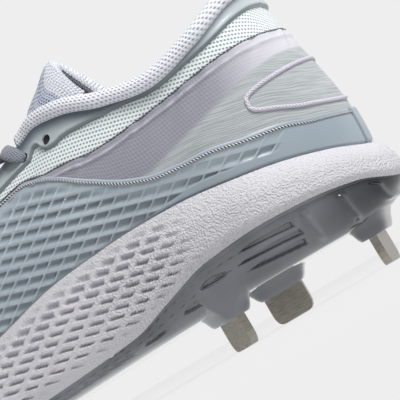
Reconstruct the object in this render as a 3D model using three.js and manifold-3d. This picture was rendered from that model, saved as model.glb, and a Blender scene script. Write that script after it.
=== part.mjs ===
// A low baseball cleat with a foam cup sole and a moulded plate that carries steel blades.
// Millimetres, Z up. X runs along the shoe with the heel at plus, Y is across with the inner side at plus.
// This is the left shoe: it stands empty on its blades.
import * as THREE from "three";
import { mergeVertices } from "three/addons/utils/BufferGeometryUtils.js";
import Module from "manifold-3d";

const wasm = await Module();
wasm.setup();

// Driving sizes of the shoe.
const LENGTH = 300;
const BALL_WIDTH = 107;
const COLLAR_HEIGHT = 102;
const BITE_HEIGHT = 50;
const PLATE_EDGE_HEIGHT = 30;
const GROUND_CLEARANCE = 14.5;
const TOE_SHIFT = 13;

// Walls, foam and clearances.
const GAP = 0.3;
const PLATE_WALL = 1.5;
const PLATE_FLOOR = 2.4;
const FOOTBED_HEIGHT = 31;
const RIM_INSET = 4;
const RIM_WALL = 1.8;
const CUP_INSET = 8.5;
const UPPER_WALL = 2;
const FILM_THICKNESS = 0.8;
const INSOLE_THICKNESS = 4;
const PAD_THICKNESS = 6;
const ROLL_HEIGHT = 4.6;
const TONGUE_THICKNESS = 4.5;
const TONGUE_HEIGHT = 116;

// Lacing.
const EYELET_RADIUS = 2.2;
const EYELET_DEPTH = 9.2;
const EYELET_PITCH = 16;
const SPARE_EYELET_GAP = 11;
const DRILL_LENGTH = 14;
const DRILL_SIDES = 6;
const LACED_EYELETS = 5;
const TOP_EYELET_AT = 90;
const LACE_WIDTH = 5.2;
const LACE_THICKNESS = 2.4;
const LACE_RISE = 0.42;

// Piping round the heel patch.
const PIPING_RADIUS = 0.9;
const PATCH_REACH = 38;
const PATCH_TOP = 69.5;
const PATCH_CLEARANCE = 4;

// Steel blades and the plate's bosses.
const BLADE_WIDTH = 14.5;
const BLADE_TIP_WIDTH = 9;
const BLADE_THICKNESS = 2.8;
const BLADE_HEIGHT = 10;
const BLADE_ROOT = 3;
const BOSS_LENGTH = 25;
const BOSS_WIDTH = 15;
const BOSS_RISE = 8;
const BOSS_TAPER = 0.68;
const RIB_HEIGHT = 1.6;
const RIB_WIDTH = 2.2;

// Facets round the shoe's edge.
const EDGE_STEPS = 52;

// Half widths of the sole outside the rounded ends, as shares of the ball width.
// at is the share of the length from the heel.
const OUTLINE = [
  { at: 0.0, outer: 0.345, inner: 0.335 },
  { at: 0.1, outer: 0.37, inner: 0.35 },
  { at: 0.2, outer: 0.38, inner: 0.345 },
  { at: 0.32, outer: 0.375, inner: 0.31 },
  { at: 0.45, outer: 0.385, inner: 0.3 },
  { at: 0.55, outer: 0.43, inner: 0.34 },
  { at: 0.66, outer: 0.48, inner: 0.425 },
  { at: 0.75, outer: 0.495, inner: 0.48 },
  { at: 0.84, outer: 0.47, inner: 0.505 },
  { at: 0.92, outer: 0.42, inner: 0.5 },
  { at: 1.0, outer: 0.34, inner: 0.47 },
];
const HEEL_ROUND = 0.15;
const TOE_ROUND = 0.26;
const TOE_FULLNESS = 2.25;

// Heights of the sole: under is the plate's underside as a share of the ground clearance, edge the
// plate's top edge as a share of its height, bite the foam's top edge as a share of its height, and
// footbed the foam's top inside as a share of its height.
const SOLE = [
  { at: 0.0, under: 1.36, edge: 0.75, bite: 0.72, footbed: 1.02 },
  { at: 0.03, under: 1.1, edge: 0.9, bite: 0.8, footbed: 1.0 },
  { at: 0.08, under: 1.0, edge: 0.98, bite: 0.884, footbed: 1.0 },
  { at: 0.13, under: 1.0, edge: 1.0, bite: 0.935, footbed: 1.0 },
  { at: 0.2, under: 1.0, edge: 0.957, bite: 0.988, footbed: 1.0 },
  { at: 0.26, under: 0.99, edge: 0.8, bite: 1.0, footbed: 0.99 },
  { at: 0.31, under: 0.97, edge: 0.66, bite: 0.988, footbed: 0.97 },
  { at: 0.36, under: 0.94, edge: 0.62, bite: 0.965, footbed: 0.94 },
  { at: 0.45, under: 0.88, edge: 0.57, bite: 0.85, footbed: 0.87 },
  { at: 0.55, under: 0.84, edge: 0.53, bite: 0.73, footbed: 0.79 },
  { at: 0.68, under: 0.83, edge: 0.51, bite: 0.65, footbed: 0.72 },
  { at: 0.8, under: 0.84, edge: 0.53, bite: 0.64, footbed: 0.71 },
  { at: 0.9, under: 1.04, edge: 0.66, bite: 0.69, footbed: 0.78 },
  { at: 1.0, under: 1.66, edge: 0.93, bite: 0.82, footbed: 0.98 },
];

// The upper's top line and centre ridge: along as a share of the length, across as a share of the
// ball width, up as a share of the collar height. lean is 0 where the wall stands and 1 where it lies.
const TOP = [
  { at: 0.0, along: 0.047, across: 0.0, up: 0.97, lean: 0 },
  { at: 0.02, along: 0.05, across: 0.105, up: 0.962, lean: 0 },
  { at: 0.05, along: 0.065, across: 0.185, up: 0.94, lean: 0 },
  { at: 0.1, along: 0.103, across: 0.24, up: 0.887, lean: 0 },
  { at: 0.17, along: 0.167, across: 0.262, up: 0.843, lean: 0.02 },
  { at: 0.23, along: 0.223, across: 0.26, up: 0.876, lean: 0.1 },
  { at: 0.28, along: 0.273, across: 0.232, up: 0.93, lean: 0.25 },
  { at: 0.315, along: 0.31, across: 0.193, up: 0.946, lean: 0.38 },
  { at: 0.34, along: 0.337, across: 0.165, up: 0.926, lean: 0.45 },
  { at: 0.41, along: 0.4, across: 0.15, up: 0.868, lean: 0.55 },
  { at: 0.49, along: 0.477, across: 0.14, up: 0.794, lean: 0.65 },
  { at: 0.57, along: 0.55, across: 0.125, up: 0.73, lean: 0.78 },
  { at: 0.63, along: 0.607, across: 0.085, up: 0.686, lean: 0.92 },
  { at: 0.66, along: 0.632, across: 0.0, up: 0.672, lean: 1 },
  { at: 0.74, along: 0.677, across: 0.0, up: 0.642, lean: 1 },
  { at: 0.84, along: 0.723, across: 0.0, up: 0.612, lean: 1 },
  { at: 1.0, along: 0.773, across: 0.0, up: 0.58, lean: 1 },
];
const THROAT_END = 0.66;
const RIDGE_SLOPE = 0.22;
const QUARTER_BULGE = 3.2;

// Where the overlays end on the wall, as shares of its length from the foam's edge to the top line:
// rand is the top of the moulded film, and stay the lower edge of the film round the collar and eyelets.
const OVERLAYS = [
  { at: 0.0, rand: 0.2, stay: 0.9 },
  { at: 0.03, rand: 0.195, stay: 0.9 },
  { at: 0.06, rand: 0.22, stay: 0.905 },
  { at: 0.1, rand: 0.24, stay: 0.925 },
  { at: 0.15, rand: 0.29, stay: 0.95 },
  { at: 0.2, rand: 0.285, stay: 0.945 },
  { at: 0.235, rand: 0.33, stay: 0.905 },
  { at: 0.275, rand: 0.41, stay: 0.81 },
  { at: 0.315, rand: 0.52, stay: 0.745 },
  { at: 0.36, rand: 0.63, stay: 0.75 },
  { at: 0.43, rand: 0.65, stay: 0.75 },
  { at: 0.55, rand: 0.58, stay: 0.75 },
  { at: 0.7, rand: 0.47, stay: 0.77 },
  { at: 0.83, rand: 0.37, stay: 0.78 },
  { at: 0.9, rand: 0.37, stay: 0.79 },
  { at: 1.0, rand: 0.42, stay: 0.8 },
];
const EYESTAY_END = 0.72;
const RAND_END = 0.84;
const TOE_CAP_START = 0.85;

// Blades: along and across as shares of the length and ball width, turn in degrees from the length.
const BLADES = [
  { name: "blade_heel_outer", along: 0.222, across: -0.245, turn: 134 },
  { name: "blade_heel_inner", along: 0.207, across: 0.215, turn: 6 },
  { name: "blade_heel_rear", along: 0.06, across: -0.02, turn: 90 },
  { name: "blade_ball_outer", along: 0.6, across: -0.34, turn: 118 },
  { name: "blade_ball_inner", along: 0.625, across: 0.27, turn: 62 },
  { name: "blade_side_outer", along: 0.715, across: -0.385, turn: 20 },
  { name: "blade_side_inner", along: 0.755, across: 0.375, turn: 160 },
  { name: "blade_toe_outer", along: 0.855, across: -0.2, turn: 60 },
  { name: "blade_toe_inner", along: 0.885, across: 0.26, turn: 120 },
];

// The plate's cross ribs, as shares of the length, with the share of the width that each spans.
const RIBS = [
  { along: 0.1, span: 0.42 },
  { along: 0.135, span: 0.46 },
  { along: 0.31, span: 0.5 },
  { along: 0.36, span: 0.5 },
  { along: 0.41, span: 0.5 },
  { along: 0.46, span: 0.5 },
  { along: 0.51, span: 0.52 },
  { along: 0.67, span: 0.42 },
  { along: 0.8, span: 0.5 },
];

// The standing part of the tongue: middle and edge of each section, as shares of the length, the
// ball width and the tongue's height.
const TONGUE_TOP = [
  { along: 0.332, up: 0.9, edgeAlong: 0.318, edgeAcross: 0.125, edgeUp: 0.81 },
  { along: 0.31, up: 0.94, edgeAlong: 0.29, edgeAcross: 0.122, edgeUp: 0.835 },
  { along: 0.279, up: 0.985, edgeAlong: 0.263, edgeAcross: 0.1, edgeUp: 0.88 },
];

// Reading a table: a smooth curve through its rows that never overshoots them.
function read(table, at, column) {
  const last = table.length - 1;
  if (at <= table[0].at) return table[0][column];
  if (at >= table[last].at) return table[last][column];
  const slope = (i) =>
    (table[i + 1][column] - table[i][column]) / (table[i + 1].at - table[i].at);
  const tangent = (i) => {
    if (i === 0) return slope(0);
    if (i === last) return slope(last - 1);
    const [before, after] = [slope(i - 1), slope(i)];
    return before * after <= 0 ? 0 : (2 * before * after) / (before + after);
  };
  const i = table.findIndex((row) => row.at > at) - 1;
  const width = table[i + 1].at - table[i].at;
  const s = (at - table[i].at) / width;
  return (
    table[i][column] * (2 * s ** 3 - 3 * s ** 2 + 1) +
    table[i + 1][column] * (3 * s ** 2 - 2 * s ** 3) +
    width * tangent(i) * (s ** 3 - 2 * s ** 2 + s) +
    width * tangent(i + 1) * (s ** 3 - s ** 2)
  );
}

// Points are made with the distance from the heel first, and mirrored into the frame here.
const place = (along, across, up) => new THREE.Vector3(LENGTH / 2 - along, across, up);

// Share of the length for a place u on the edge: u runs from the heel along the outer side to the
// toe at one half, and back along the inner side.
const shareOf = (u) => (1 - Math.cos(2 * Math.PI * u)) / 2;
const isInner = (u) => (((u % 1) + 1) % 1) > 0.5;

function edgePoint(u) {
  const at = shareOf(u);
  const heel = Math.min(at / HEEL_ROUND, 1);
  const toe = Math.max((at - 1 + TOE_ROUND) / TOE_ROUND, 0);
  const heelCap = Math.sqrt(1 - (1 - heel) ** 2);
  const toeCap = Math.max(1 - toe ** TOE_FULLNESS, 0) ** (1 / TOE_FULLNESS);
  const side = isInner(u) ? read(OUTLINE, at, "inner") : -read(OUTLINE, at, "outer");
  const nominal = side * BALL_WIDTH;
  const across = nominal * heelCap;
  return toe > 0
    ? new THREE.Vector2(at * LENGTH, TOE_SHIFT + (nominal - TOE_SHIFT) * toeCap)
    : new THREE.Vector2(at * LENGTH, across);
}

// Outward direction of the edge in the plan.
function edgeNormal(u) {
  const step = 0.004;
  const run = edgePoint(u + step).sub(edgePoint(u - step));
  return new THREE.Vector2(run.y, -run.x).normalize();
}

// Height of one of the sole's levels at a share of the length.
function levelAt(share, level) {
  const scale = {
    under: GROUND_CLEARANCE,
    edge: PLATE_EDGE_HEIGHT,
    bite: BITE_HEIGHT,
    footbed: FOOTBED_HEIGHT,
  };
  return read(SOLE, share, level) * scale[level];
}

// A point inset from the sole's edge. Its height comes from its own share of the length and the
// place u on the edge beside it.
function insetPoint(u, inset, height) {
  const p = edgePoint(u).addScaledVector(edgeNormal(u), -inset);
  return place(p.x, p.y, height(p.x / LENGTH, shareOf(u)));
}

// The centre line leans to the inner side towards the toe.
const centreShift = (along) => TOE_SHIFT * Math.max((along / LENGTH - 0.45) / 0.55, 0) ** 1.5;

function topPoint(u) {
  const at = shareOf(u);
  const along = read(TOP, at, "along") * LENGTH;
  const across = read(TOP, at, "across") * BALL_WIDTH * (isInner(u) ? 1 : -1);
  return place(along, centreShift(along) + across, read(TOP, at, "up") * COLLAR_HEIGHT);
}

// The upper's outside above the foam: v is 0 at the foam's edge and 1 at the top line. The curve is
// pulled upright by a share of its height, and over the foot by a share of its reach.
const UPRIGHT_PULL = 0.36;
const REACH_PULL = 0.58;

function wallCurve(u) {
  const base = insetPoint(u, RIM_INSET + RIM_WALL + GAP, (_, edge) => levelAt(edge, "bite"));
  const top = topPoint(u);
  const lean = read(TOP, shareOf(u), "lean");
  const rise = top.z - base.z;
  const out = edgeNormal(u);
  const outward = new THREE.Vector3(-out.x, out.y, 0);
  const reach = base.clone().sub(top).setZ(0);
  const low = base.clone().addScaledVector(outward, QUARTER_BULGE * (1 - 0.4 * lean));
  low.z += rise * UPRIGHT_PULL * (1 + lean);
  const high = top.clone().addScaledVector(reach, REACH_PULL * lean);
  high.addScaledVector(outward, QUARTER_BULGE * 0.5 * (1 - lean));
  const ridgeFall = RIDGE_SLOPE * REACH_PULL * lean * Math.max(-reach.x, 0);
  high.z -= rise * UPRIGHT_PULL * (1 - lean) + ridgeFall;
  return new THREE.CubicBezierCurve3(base, low, high, top);
}

// A point lifted off the upper's outside along its normal.
const NORMAL_STEP = 0.004;

function wallPoint(u, v, lift) {
  const curve = wallCurve(u);
  const point = curve.getPoint(v);
  if (v >= 1 && shareOf(u) >= THROAT_END) {
    const ridge = new THREE.Vector3(-RIDGE_SLOPE, 0, 1).normalize();
    return point.addScaledVector(ridge, lift);
  }
  const along = wallCurve(u + NORMAL_STEP).getPoint(v).sub(wallCurve(u - NORMAL_STEP).getPoint(v));
  const above = curve.getPoint(Math.min(v + NORMAL_STEP, 1));
  const up = above.sub(curve.getPoint(Math.max(v - NORMAL_STEP, 0)));
  return point.addScaledVector(up.cross(along).normalize(), lift);
}

// The upper's outside inside the foam cup: drop is 0 at the foam's edge and 1 at the footbed.
function cupPoint(u, drop, lift) {
  const inset = THREE.MathUtils.lerp(RIM_INSET + RIM_WALL, CUP_INSET, drop) + GAP;
  return insetPoint(u, inset - lift, (own, edge) =>
    THREE.MathUtils.lerp(levelAt(edge, "bite"), levelAt(own, "footbed") + GAP, drop),
  );
}

const wallLength = (u) => wallCurve(u).getLength();

// Faces between two rows of points, as loose triangles. The diagonals all lean the same way on the
// shoe: down says that the rows run downwards, so that a wall and what lies on it have like facets.
function quads(rowA, rowB, { closed = false, down = false } = {}) {
  const out = [];
  const count = closed ? rowA.length : rowA.length - 1;
  for (let i = 0; i < count; i++) {
    const j = (i + 1) % rowA.length;
    if (down) out.push(rowA[i], rowA[j], rowB[i], rowA[j], rowB[j], rowB[i]);
    else out.push(rowA[i], rowA[j], rowB[j], rowA[i], rowB[j], rowB[i]);
  }
  return out;
}

// A closed solid from loose triangles: welded, freed of slivers, and turned to face out.
function solidFrom(points) {
  const flat = new Float32Array(points.flatMap((p) => [p.x, p.y, p.z]));
  const loose = new THREE.BufferGeometry();
  loose.setAttribute("position", new THREE.BufferAttribute(flat, 3));
  const welded = mergeVertices(loose, 1e-3);
  const index = welded.index.array;
  const kept = [];
  for (let i = 0; i < index.length; i += 3) {
    const [a, b, c] = index.slice(i, i + 3);
    if (a !== b && b !== c && c !== a) kept.push(a, b, c);
  }
  const make = (triVerts) =>
    new wasm.Manifold(
      new wasm.Mesh({
        numProp: 3,
        vertProperties: welded.attributes.position.array,
        triVerts: new Uint32Array(triVerts),
      }),
    );
  const solid = make(kept);
  if (solid.volume() > 0) return solid;
  return make(kept.reverse());
}

function solidOf(geometry) {
  const loose = geometry.index ? geometry.toNonIndexed() : geometry;
  const p = loose.getAttribute("position");
  const points = [];
  for (let i = 0; i < p.count; i++) points.push(new THREE.Vector3().fromBufferAttribute(p, i));
  return solidFrom(points);
}

// A solid of rings round the shoe, closed at both ends by strips across it. The rings rise up to
// number crest, and run downwards after it.
function ringSolid(rings, crest = rings.length) {
  const lid = (row) => {
    const half = row.length / 2;
    return quads(row.slice(0, half + 1), [row[0], ...row.slice(half).reverse()]);
  };
  const faces = [...lid(rings[0]).reverse(), ...lid(rings[rings.length - 1])];
  for (let i = 0; i + 1 < rings.length; i++) {
    faces.push(...quads(rings[i], rings[i + 1], { closed: true, down: i >= crest }));
  }
  return solidFrom(faces);
}

// A wall with an outer and an inner skin, its rows running up from the lowest edge. Where the two
// sides meet on the ridge the skins join, and elsewhere the top edge is closed.
function shellSolid({ places, closed, rows, outer, inner, open }) {
  const skin = (lift) => rows.map((row) => places.map((u) => row(u, lift)));
  const [out, back] = [skin(outer), skin(inner)];
  const faces = [];
  for (let i = 0; i + 1 < rows.length; i++) {
    faces.push(...quads(out[i], out[i + 1], { closed }));
    faces.push(...quads(back[i + 1], back[i], { closed, down: true }));
  }
  faces.push(...quads(back[0], out[0], { closed }));
  const top = rows.length - 1;
  const count = closed ? places.length : places.length - 1;
  for (let i = 0; i < count; i++) {
    const j = (i + 1) % places.length;
    if (open(places[i]) || open(places[j])) {
      faces.push(...quads([out[top][i], out[top][j]], [back[top][i], back[top][j]]));
    }
  }
  if (!closed) {
    const column = (skinRows, i) => skinRows.map((row) => row[i]);
    const last = places.length - 1;
    faces.push(...quads(column(out, 0), column(back, 0)));
    faces.push(...quads(column(back, last), column(out, last)));
  }
  return solidFrom(faces);
}

const ring = (steps = EDGE_STEPS) => Array.from({ length: steps }, (_, i) => i / steps);
const isOpen = (u) => shareOf(u) < THROAT_END;

// Places from one share of the length on the inner side, round the heel, to the outer side.
function roundHeel(share) {
  const inside = ring().filter((u) => shareOf(u) < share);
  return [...inside.filter((u) => u > 0.5).map((u) => u - 1), ...inside.filter((u) => u <= 0.5)];
}

// Places from one share of the length on the outer side, round the toe, to the inner side.
const roundToe = (share) => ring().filter((u) => shareOf(u) > share);

const shares = (count) => Array.from({ length: count + 1 }, (_, i) => i / count);

// The moulded plate: a tray that wraps up the heel, with bosses for the blades and cross ribs.
const PLATE_TURN = 0.28;
const PLATE_FLAT = 18;
const PLATE_BEND = 10;
const PLATE_PROFILE = [
  { inset: PLATE_FLAT, rise: 0 },
  { inset: PLATE_BEND, rise: 0.03 },
  { inset: 5.2, rise: PLATE_TURN },
  { inset: 2.6, rise: 0.62 },
  { inset: 1.6, rise: 1 },
];

// One ring of the plate: its outside where grow is null, and otherwise its inside set back by grow.
function plateRing(row, grow) {
  const inside = grow !== null;
  const wall = inside ? (PLATE_WALL + grow) * Math.min(row.rise / PLATE_TURN, 1) : 0;
  const floor = inside ? (PLATE_FLOOR + grow) * (1 - row.rise) : 0;
  const height = (own, edge) =>
    floor + THREE.MathUtils.lerp(levelAt(own, "under"), levelAt(edge, "edge"), row.rise);
  return ring().map((u) => insetPoint(u, row.inset + wall, height));
}

function placeBlade(solid, blade, up) {
  const spot = place(blade.along * LENGTH, blade.across * BALL_WIDTH, up);
  return solid.rotate([0, 0, blade.turn]).translate([spot.x, spot.y, spot.z]);
}

// Height of the plate's underside along the shoe, and of a blade's tip: blades on the flat part of
// the plate stand on the ground, and those under the toe spring are lifted with it.
const underAt = (share) => levelAt(share, "under");
const flatUnder = () => Math.min(...SOLE.map((row) => row.under)) * GROUND_CLEARANCE;
const tipHeight = (blade) => (blade.along > 0.8 ? underAt(blade.along) - flatUnder() : 0);

function bladeSolid(grow) {
  const [root, tip] = [BLADE_WIDTH / 2 + grow, BLADE_TIP_WIDTH / 2 + grow];
  const round = (BLADE_WIDTH - BLADE_TIP_WIDTH) / 2;
  const face = new THREE.Shape();
  face.moveTo(-root, BLADE_HEIGHT + BLADE_ROOT + grow);
  face.lineTo(-root, round * 1.6);
  face.quadraticCurveTo(-root, 0, -tip, -grow);
  face.lineTo(tip, -grow);
  face.quadraticCurveTo(root, 0, root, round * 1.6);
  face.lineTo(root, BLADE_HEIGHT + BLADE_ROOT + grow);
  face.closePath();
  const depth = BLADE_THICKNESS + 2 * grow;
  const plate = new THREE.ExtrudeGeometry(face, { depth, bevelEnabled: false, curveSegments: 4 });
  plate.translate(0, 0, -depth / 2).rotateX(Math.PI / 2);
  return solidOf(plate);
}

function bossSolid(blade) {
  const top = Math.min(underAt(blade.along) + BOSS_RISE, levelAt(blade.along, "edge") - 2 * GAP);
  const bottom = tipHeight(blade) + BLADE_HEIGHT;
  const cone = new THREE.CylinderGeometry(0.5, 0.5 * BOSS_TAPER, 1, 8);
  cone.rotateX(Math.PI / 2).rotateZ(Math.PI / 8).scale(BOSS_LENGTH, BOSS_WIDTH, top - bottom);
  const boss = placeBlade(solidOf(cone), blade, (top + bottom) / 2);
  return boss.subtract(placeBlade(bladeSolid(GAP), blade, tipHeight(blade)));
}

function ribSolid(rib) {
  const under = underAt(rib.along);
  const width = (read(OUTLINE, rib.along, "outer") + read(OUTLINE, rib.along, "inner")) * BALL_WIDTH;
  const middle = (read(OUTLINE, rib.along, "inner") - read(OUTLINE, rib.along, "outer")) / 2;
  const bar = new THREE.BoxGeometry(RIB_WIDTH, width * rib.span, RIB_HEIGHT + 1);
  const spot = place(rib.along * LENGTH, middle * BALL_WIDTH, under - RIB_HEIGHT + (RIB_HEIGHT + 1) / 2);
  return solidOf(bar.translate(spot.x, spot.y, spot.z));
}

function plateSolid() {
  const outside = PLATE_PROFILE.map((row) => plateRing(row, null));
  const inside = PLATE_PROFILE.map((row) => plateRing(row, 0));
  const above = inside[inside.length - 1].map((p) => p.clone().setZ(p.z + BOSS_RISE));
  const hollow = ringSolid([...inside, above]);
  let plate = ringSolid([...outside, ...[...inside].reverse()], outside.length);
  for (const rib of RIBS) plate = plate.add(ribSolid(rib).subtract(hollow));
  for (const blade of BLADES) {
    const slot = placeBlade(bladeSolid(GAP), blade, tipHeight(blade));
    plate = plate.add(bossSolid(blade).subtract(hollow)).subtract(slot);
  }
  return plate;
}

// The foam midsole: it fills the plate, bulges over its edge and rises in a rim round the upper.
const FOAM_PROFILE = [
  { inset: 1.3, rise: 0 },
  { inset: 0, rise: 0.22 },
  { inset: 0.4, rise: 0.5 },
  { inset: 2, rise: 0.78 },
  { inset: RIM_INSET, rise: 1 },
];

function midsoleSolid() {
  const seat = PLATE_PROFILE.map((row) => plateRing(row, GAP));
  const wall = FOAM_PROFILE.map(({ inset, rise }) => {
    const height = (_, edge) =>
      THREE.MathUtils.lerp(levelAt(edge, "edge") + GAP, levelAt(edge, "bite"), rise);
    return ring().map((u) => insetPoint(u, inset, height));
  });
  const cup = [0, 0.5, 1].map((drop) => {
    const inset = THREE.MathUtils.lerp(RIM_INSET + RIM_WALL, CUP_INSET, drop);
    const height = (own, edge) =>
      THREE.MathUtils.lerp(levelAt(edge, "bite"), levelAt(own, "footbed"), drop);
    return ring().map((u) => insetPoint(u, inset, height));
  });
  return ringSolid([...seat, ...wall, ...cup], seat.length + wall.length);
}

// The sock liner on the footbed, with its edge turned up a little.
const LINER_EDGE = 1.4 * INSOLE_THICKNESS;
const LINER_EDGE_WIDTH = 3;

function insoleSolid() {
  const inset = CUP_INSET + UPPER_WALL + 2 * GAP;
  const row = (inset, thick) =>
    ring().map((u) => insetPoint(u, inset, (own) => levelAt(own, "footbed") + GAP + thick));
  const flat = row(inset + LINER_EDGE_WIDTH, INSOLE_THICKNESS);
  return ringSolid([row(inset, 0), row(inset, LINER_EDGE), flat]);
}

// The upper: one wall from the footbed to the collar, open at the collar and throat.
function eyeletHoles() {
  const holes = [];
  for (const side of [-1, 1]) {
    for (let k = 0; k <= LACED_EYELETS; k++) {
      const { centre, normal } = eyelet(side, k);
      const drill = new THREE.CylinderGeometry(EYELET_RADIUS, EYELET_RADIUS, DRILL_LENGTH, DRILL_SIDES);
      const turn = new THREE.Quaternion().setFromUnitVectors(new THREE.Vector3(0, 1, 0), normal);
      drill.applyQuaternion(turn).translate(centre.x, centre.y, centre.z);
      holes.push(solidOf(drill));
    }
  }
  return holes;
}

// The place of an eyelet: number 0 is the spare one at the top, and the rest carry the lace. It is
// looked for between two places on the outer edge.
const EYELET_PLACES = [0.05, 0.35];

function eyelet(side, number) {
  const fromSpare = number === 0 ? 0 : SPARE_EYELET_GAP + (number - 1) * EYELET_PITCH;
  const along = TOP_EYELET_AT + fromSpare;
  let [low, high] = EYELET_PLACES;
  while (high - low > 1e-5) {
    const middle = (low + high) / 2;
    if (LENGTH / 2 - topPoint(middle).x < along) low = middle;
    else high = middle;
  }
  const u = side < 0 ? low : 1 - low;
  const v = 1 - EYELET_DEPTH / wallLength(u);
  const centre = wallPoint(u, v, 0);
  const normal = wallPoint(u, v, 1).sub(centre);
  return { u, v, centre, normal };
}

// The rows of the wall follow the overlays' edges, so that each overlay lies on whole facets.
const WALL_ROWS = 6;
const RAND_ROW = 2;
const STAY_ROW = 4;

function rowShare(row, u) {
  const rand = read(OVERLAYS, shareOf(u), "rand");
  const stay = read(OVERLAYS, shareOf(u), "stay");
  if (row <= RAND_ROW) return (rand * row) / RAND_ROW;
  if (row <= STAY_ROW) return THREE.MathUtils.lerp(rand, stay, (row - RAND_ROW) / (STAY_ROW - RAND_ROW));
  return THREE.MathUtils.lerp(stay, 1, (row - STAY_ROW) / (WALL_ROWS - STAY_ROW));
}

const wallRows = (from, to) =>
  Array.from({ length: to - from + 1 }, (_, i) => (u, lift) => wallPoint(u, rowShare(from + i, u), lift));

function upperSolid() {
  const cup = [1, 0.5].map((drop) => (u, lift) => cupPoint(u, drop, lift));
  const body = shellSolid({
    places: ring(),
    closed: true,
    rows: [...cup, ...wallRows(0, WALL_ROWS)],
    outer: 0,
    inner: -UPPER_WALL,
    open: isOpen,
  });
  return eyeletHoles().reduce((solid, hole) => solid.subtract(hole), body);
}

// Films moulded on the upper: round the eyelets and collar, along the foam's edge, and on the toe.
function filmSolid(places, from, to, open) {
  const clear = (u, lift) => wallPoint(u, (4 * GAP) / wallLength(u), lift);
  const rows = from === 0 ? [clear, ...wallRows(1, to)] : wallRows(from, to);
  return shellSolid({ places, closed: false, rows, outer: GAP + FILM_THICKNESS, inner: GAP, open });
}

function eyestaySolid() {
  const film = filmSolid(roundHeel(EYESTAY_END), STAY_ROW, WALL_ROWS, isOpen);
  return eyeletHoles().reduce((solid, hole) => solid.subtract(hole), film);
}

const randSolid = () => filmSolid(roundHeel(RAND_END), 0, RAND_ROW, () => true);
const toeCapSolid = () => filmSolid(roundToe(TOE_CAP_START), 0, RAND_ROW, () => true);

// The padded collar: a roll over the upper's edge whose pad hangs inside it, thinner at the throat.
// out is a share of the pad and wall together and up a share of the roll's height.
const COLLAR_END = 0.33;
const THROAT_PAD = 0.4;
const COLLAR_PROFILE = [
  { out: 0.1, up: 0 },
  { out: 0.2, up: 0.45 },
  { out: 0.05, up: 0.86 },
  { out: -0.3, up: 1 },
  { out: -0.72, up: 0.82 },
  { out: -1, up: 0.25 },
];
const PAD_PROFILE = [
  { row: 5, thick: 1 },
  { row: 4, thick: 0.9 },
  { row: 3, thick: 0.3 },
];

function collarSolid() {
  const back = UPPER_WALL + 2 * GAP;
  const section = (u) => {
    const towardsThroat = Math.max(shareOf(u) / COLLAR_END - 0.5, 0) * 2;
    const pad = PAD_THICKNESS * THREE.MathUtils.lerp(1, THROAT_PAD, towardsThroat);
    const top = wallPoint(u, 1, 0);
    const normal = wallPoint(u, 1, 1).sub(top);
    const rise = top.clone().sub(wallPoint(u, 0.97, 0)).normalize();
    const over = (out, up) => top.clone().addScaledVector(normal, out).addScaledVector(rise, up);
    const hang = (row, depth) => wallPoint(u, rowShare(row, u), -depth);
    return [
      ...COLLAR_PROFILE.map(({ out, up }) => over(out * (back + pad), 2 * GAP + up * ROLL_HEIGHT)),
      ...PAD_PROFILE.map(({ row, thick }) => hang(row, back + pad * thick)),
      ...[...PAD_PROFILE].reverse().map(({ row }) => hang(row, back)),
      over(-back, 2 * GAP),
    ];
  };
  return tubeSolid(roundHeel(COLLAR_END).map(section), false);
}

// The face that closes a section, seen along a direction in which the section doesn't fold.
function capFaces(points, direction) {
  const side = direction.clone().cross(new THREE.Vector3(0, 0, 1)).normalize();
  const up = side.clone().cross(direction).normalize();
  const flat = points.map((p) => new THREE.Vector2(p.dot(side), p.dot(up)));
  const faces = THREE.ShapeUtils.triangulateShape(flat, []);
  const area = faces.reduce((sum, face) => sum + THREE.ShapeUtils.area(face.map((i) => flat[i])), 0);
  const like = area * THREE.ShapeUtils.area(flat) > 0;
  return faces.flatMap((face) => (like ? face : [...face].reverse()).map((i) => points[i]));
}

// A solid of closed sections in a row, capped at its ends or joined to itself.
function tubeSolid(sections, closed) {
  const faces = [];
  const last = sections.length - 1;
  const count = closed ? sections.length : last;
  for (let i = 0; i < count; i++) {
    faces.push(...quads(sections[i], sections[(i + 1) % sections.length], { closed: true }));
  }
  if (!closed) {
    const run = (i, j) => sections[j][0].clone().sub(sections[i][0]);
    faces.push(...capFaces([...sections[0]].reverse(), run(0, 1)));
    faces.push(...capFaces(sections[last], run(last - 1, last)));
  }
  return solidFrom(faces);
}

// A cord or lace through points, its flat side facing along the normals.
function cordSolid({ points, normals, width, thickness, sides, closed }) {
  const last = points.length - 1;
  const sections = points.map((p, i) => {
    const after = closed ? points[(i + 1) % points.length] : points[Math.min(i + 1, last)];
    const before = closed ? points[(i + last) % points.length] : points[Math.max(i - 1, 0)];
    const side = after.clone().sub(before).cross(normals[i]).normalize();
    return Array.from({ length: sides }, (_, k) => {
      const angle = ((k + 0.5) / sides) * 2 * Math.PI;
      return p
        .clone()
        .addScaledVector(normals[i], (Math.sin(angle) * thickness) / 2)
        .addScaledVector(side, (Math.cos(angle) * width) / 2);
    });
  });
  return tubeSolid(sections, closed);
}

// The tongue: under the throat it follows the inside of the upper, and above it stands free.
const TONGUE_START = 0.62;
const TONGUE_LEAVES = 0.35;
const TONGUE_WING = 9;
const TONGUE_ARCH = 0.15;
const TONGUE_ROWS = 8;
const TONGUE_COLUMNS = 8;

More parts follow.
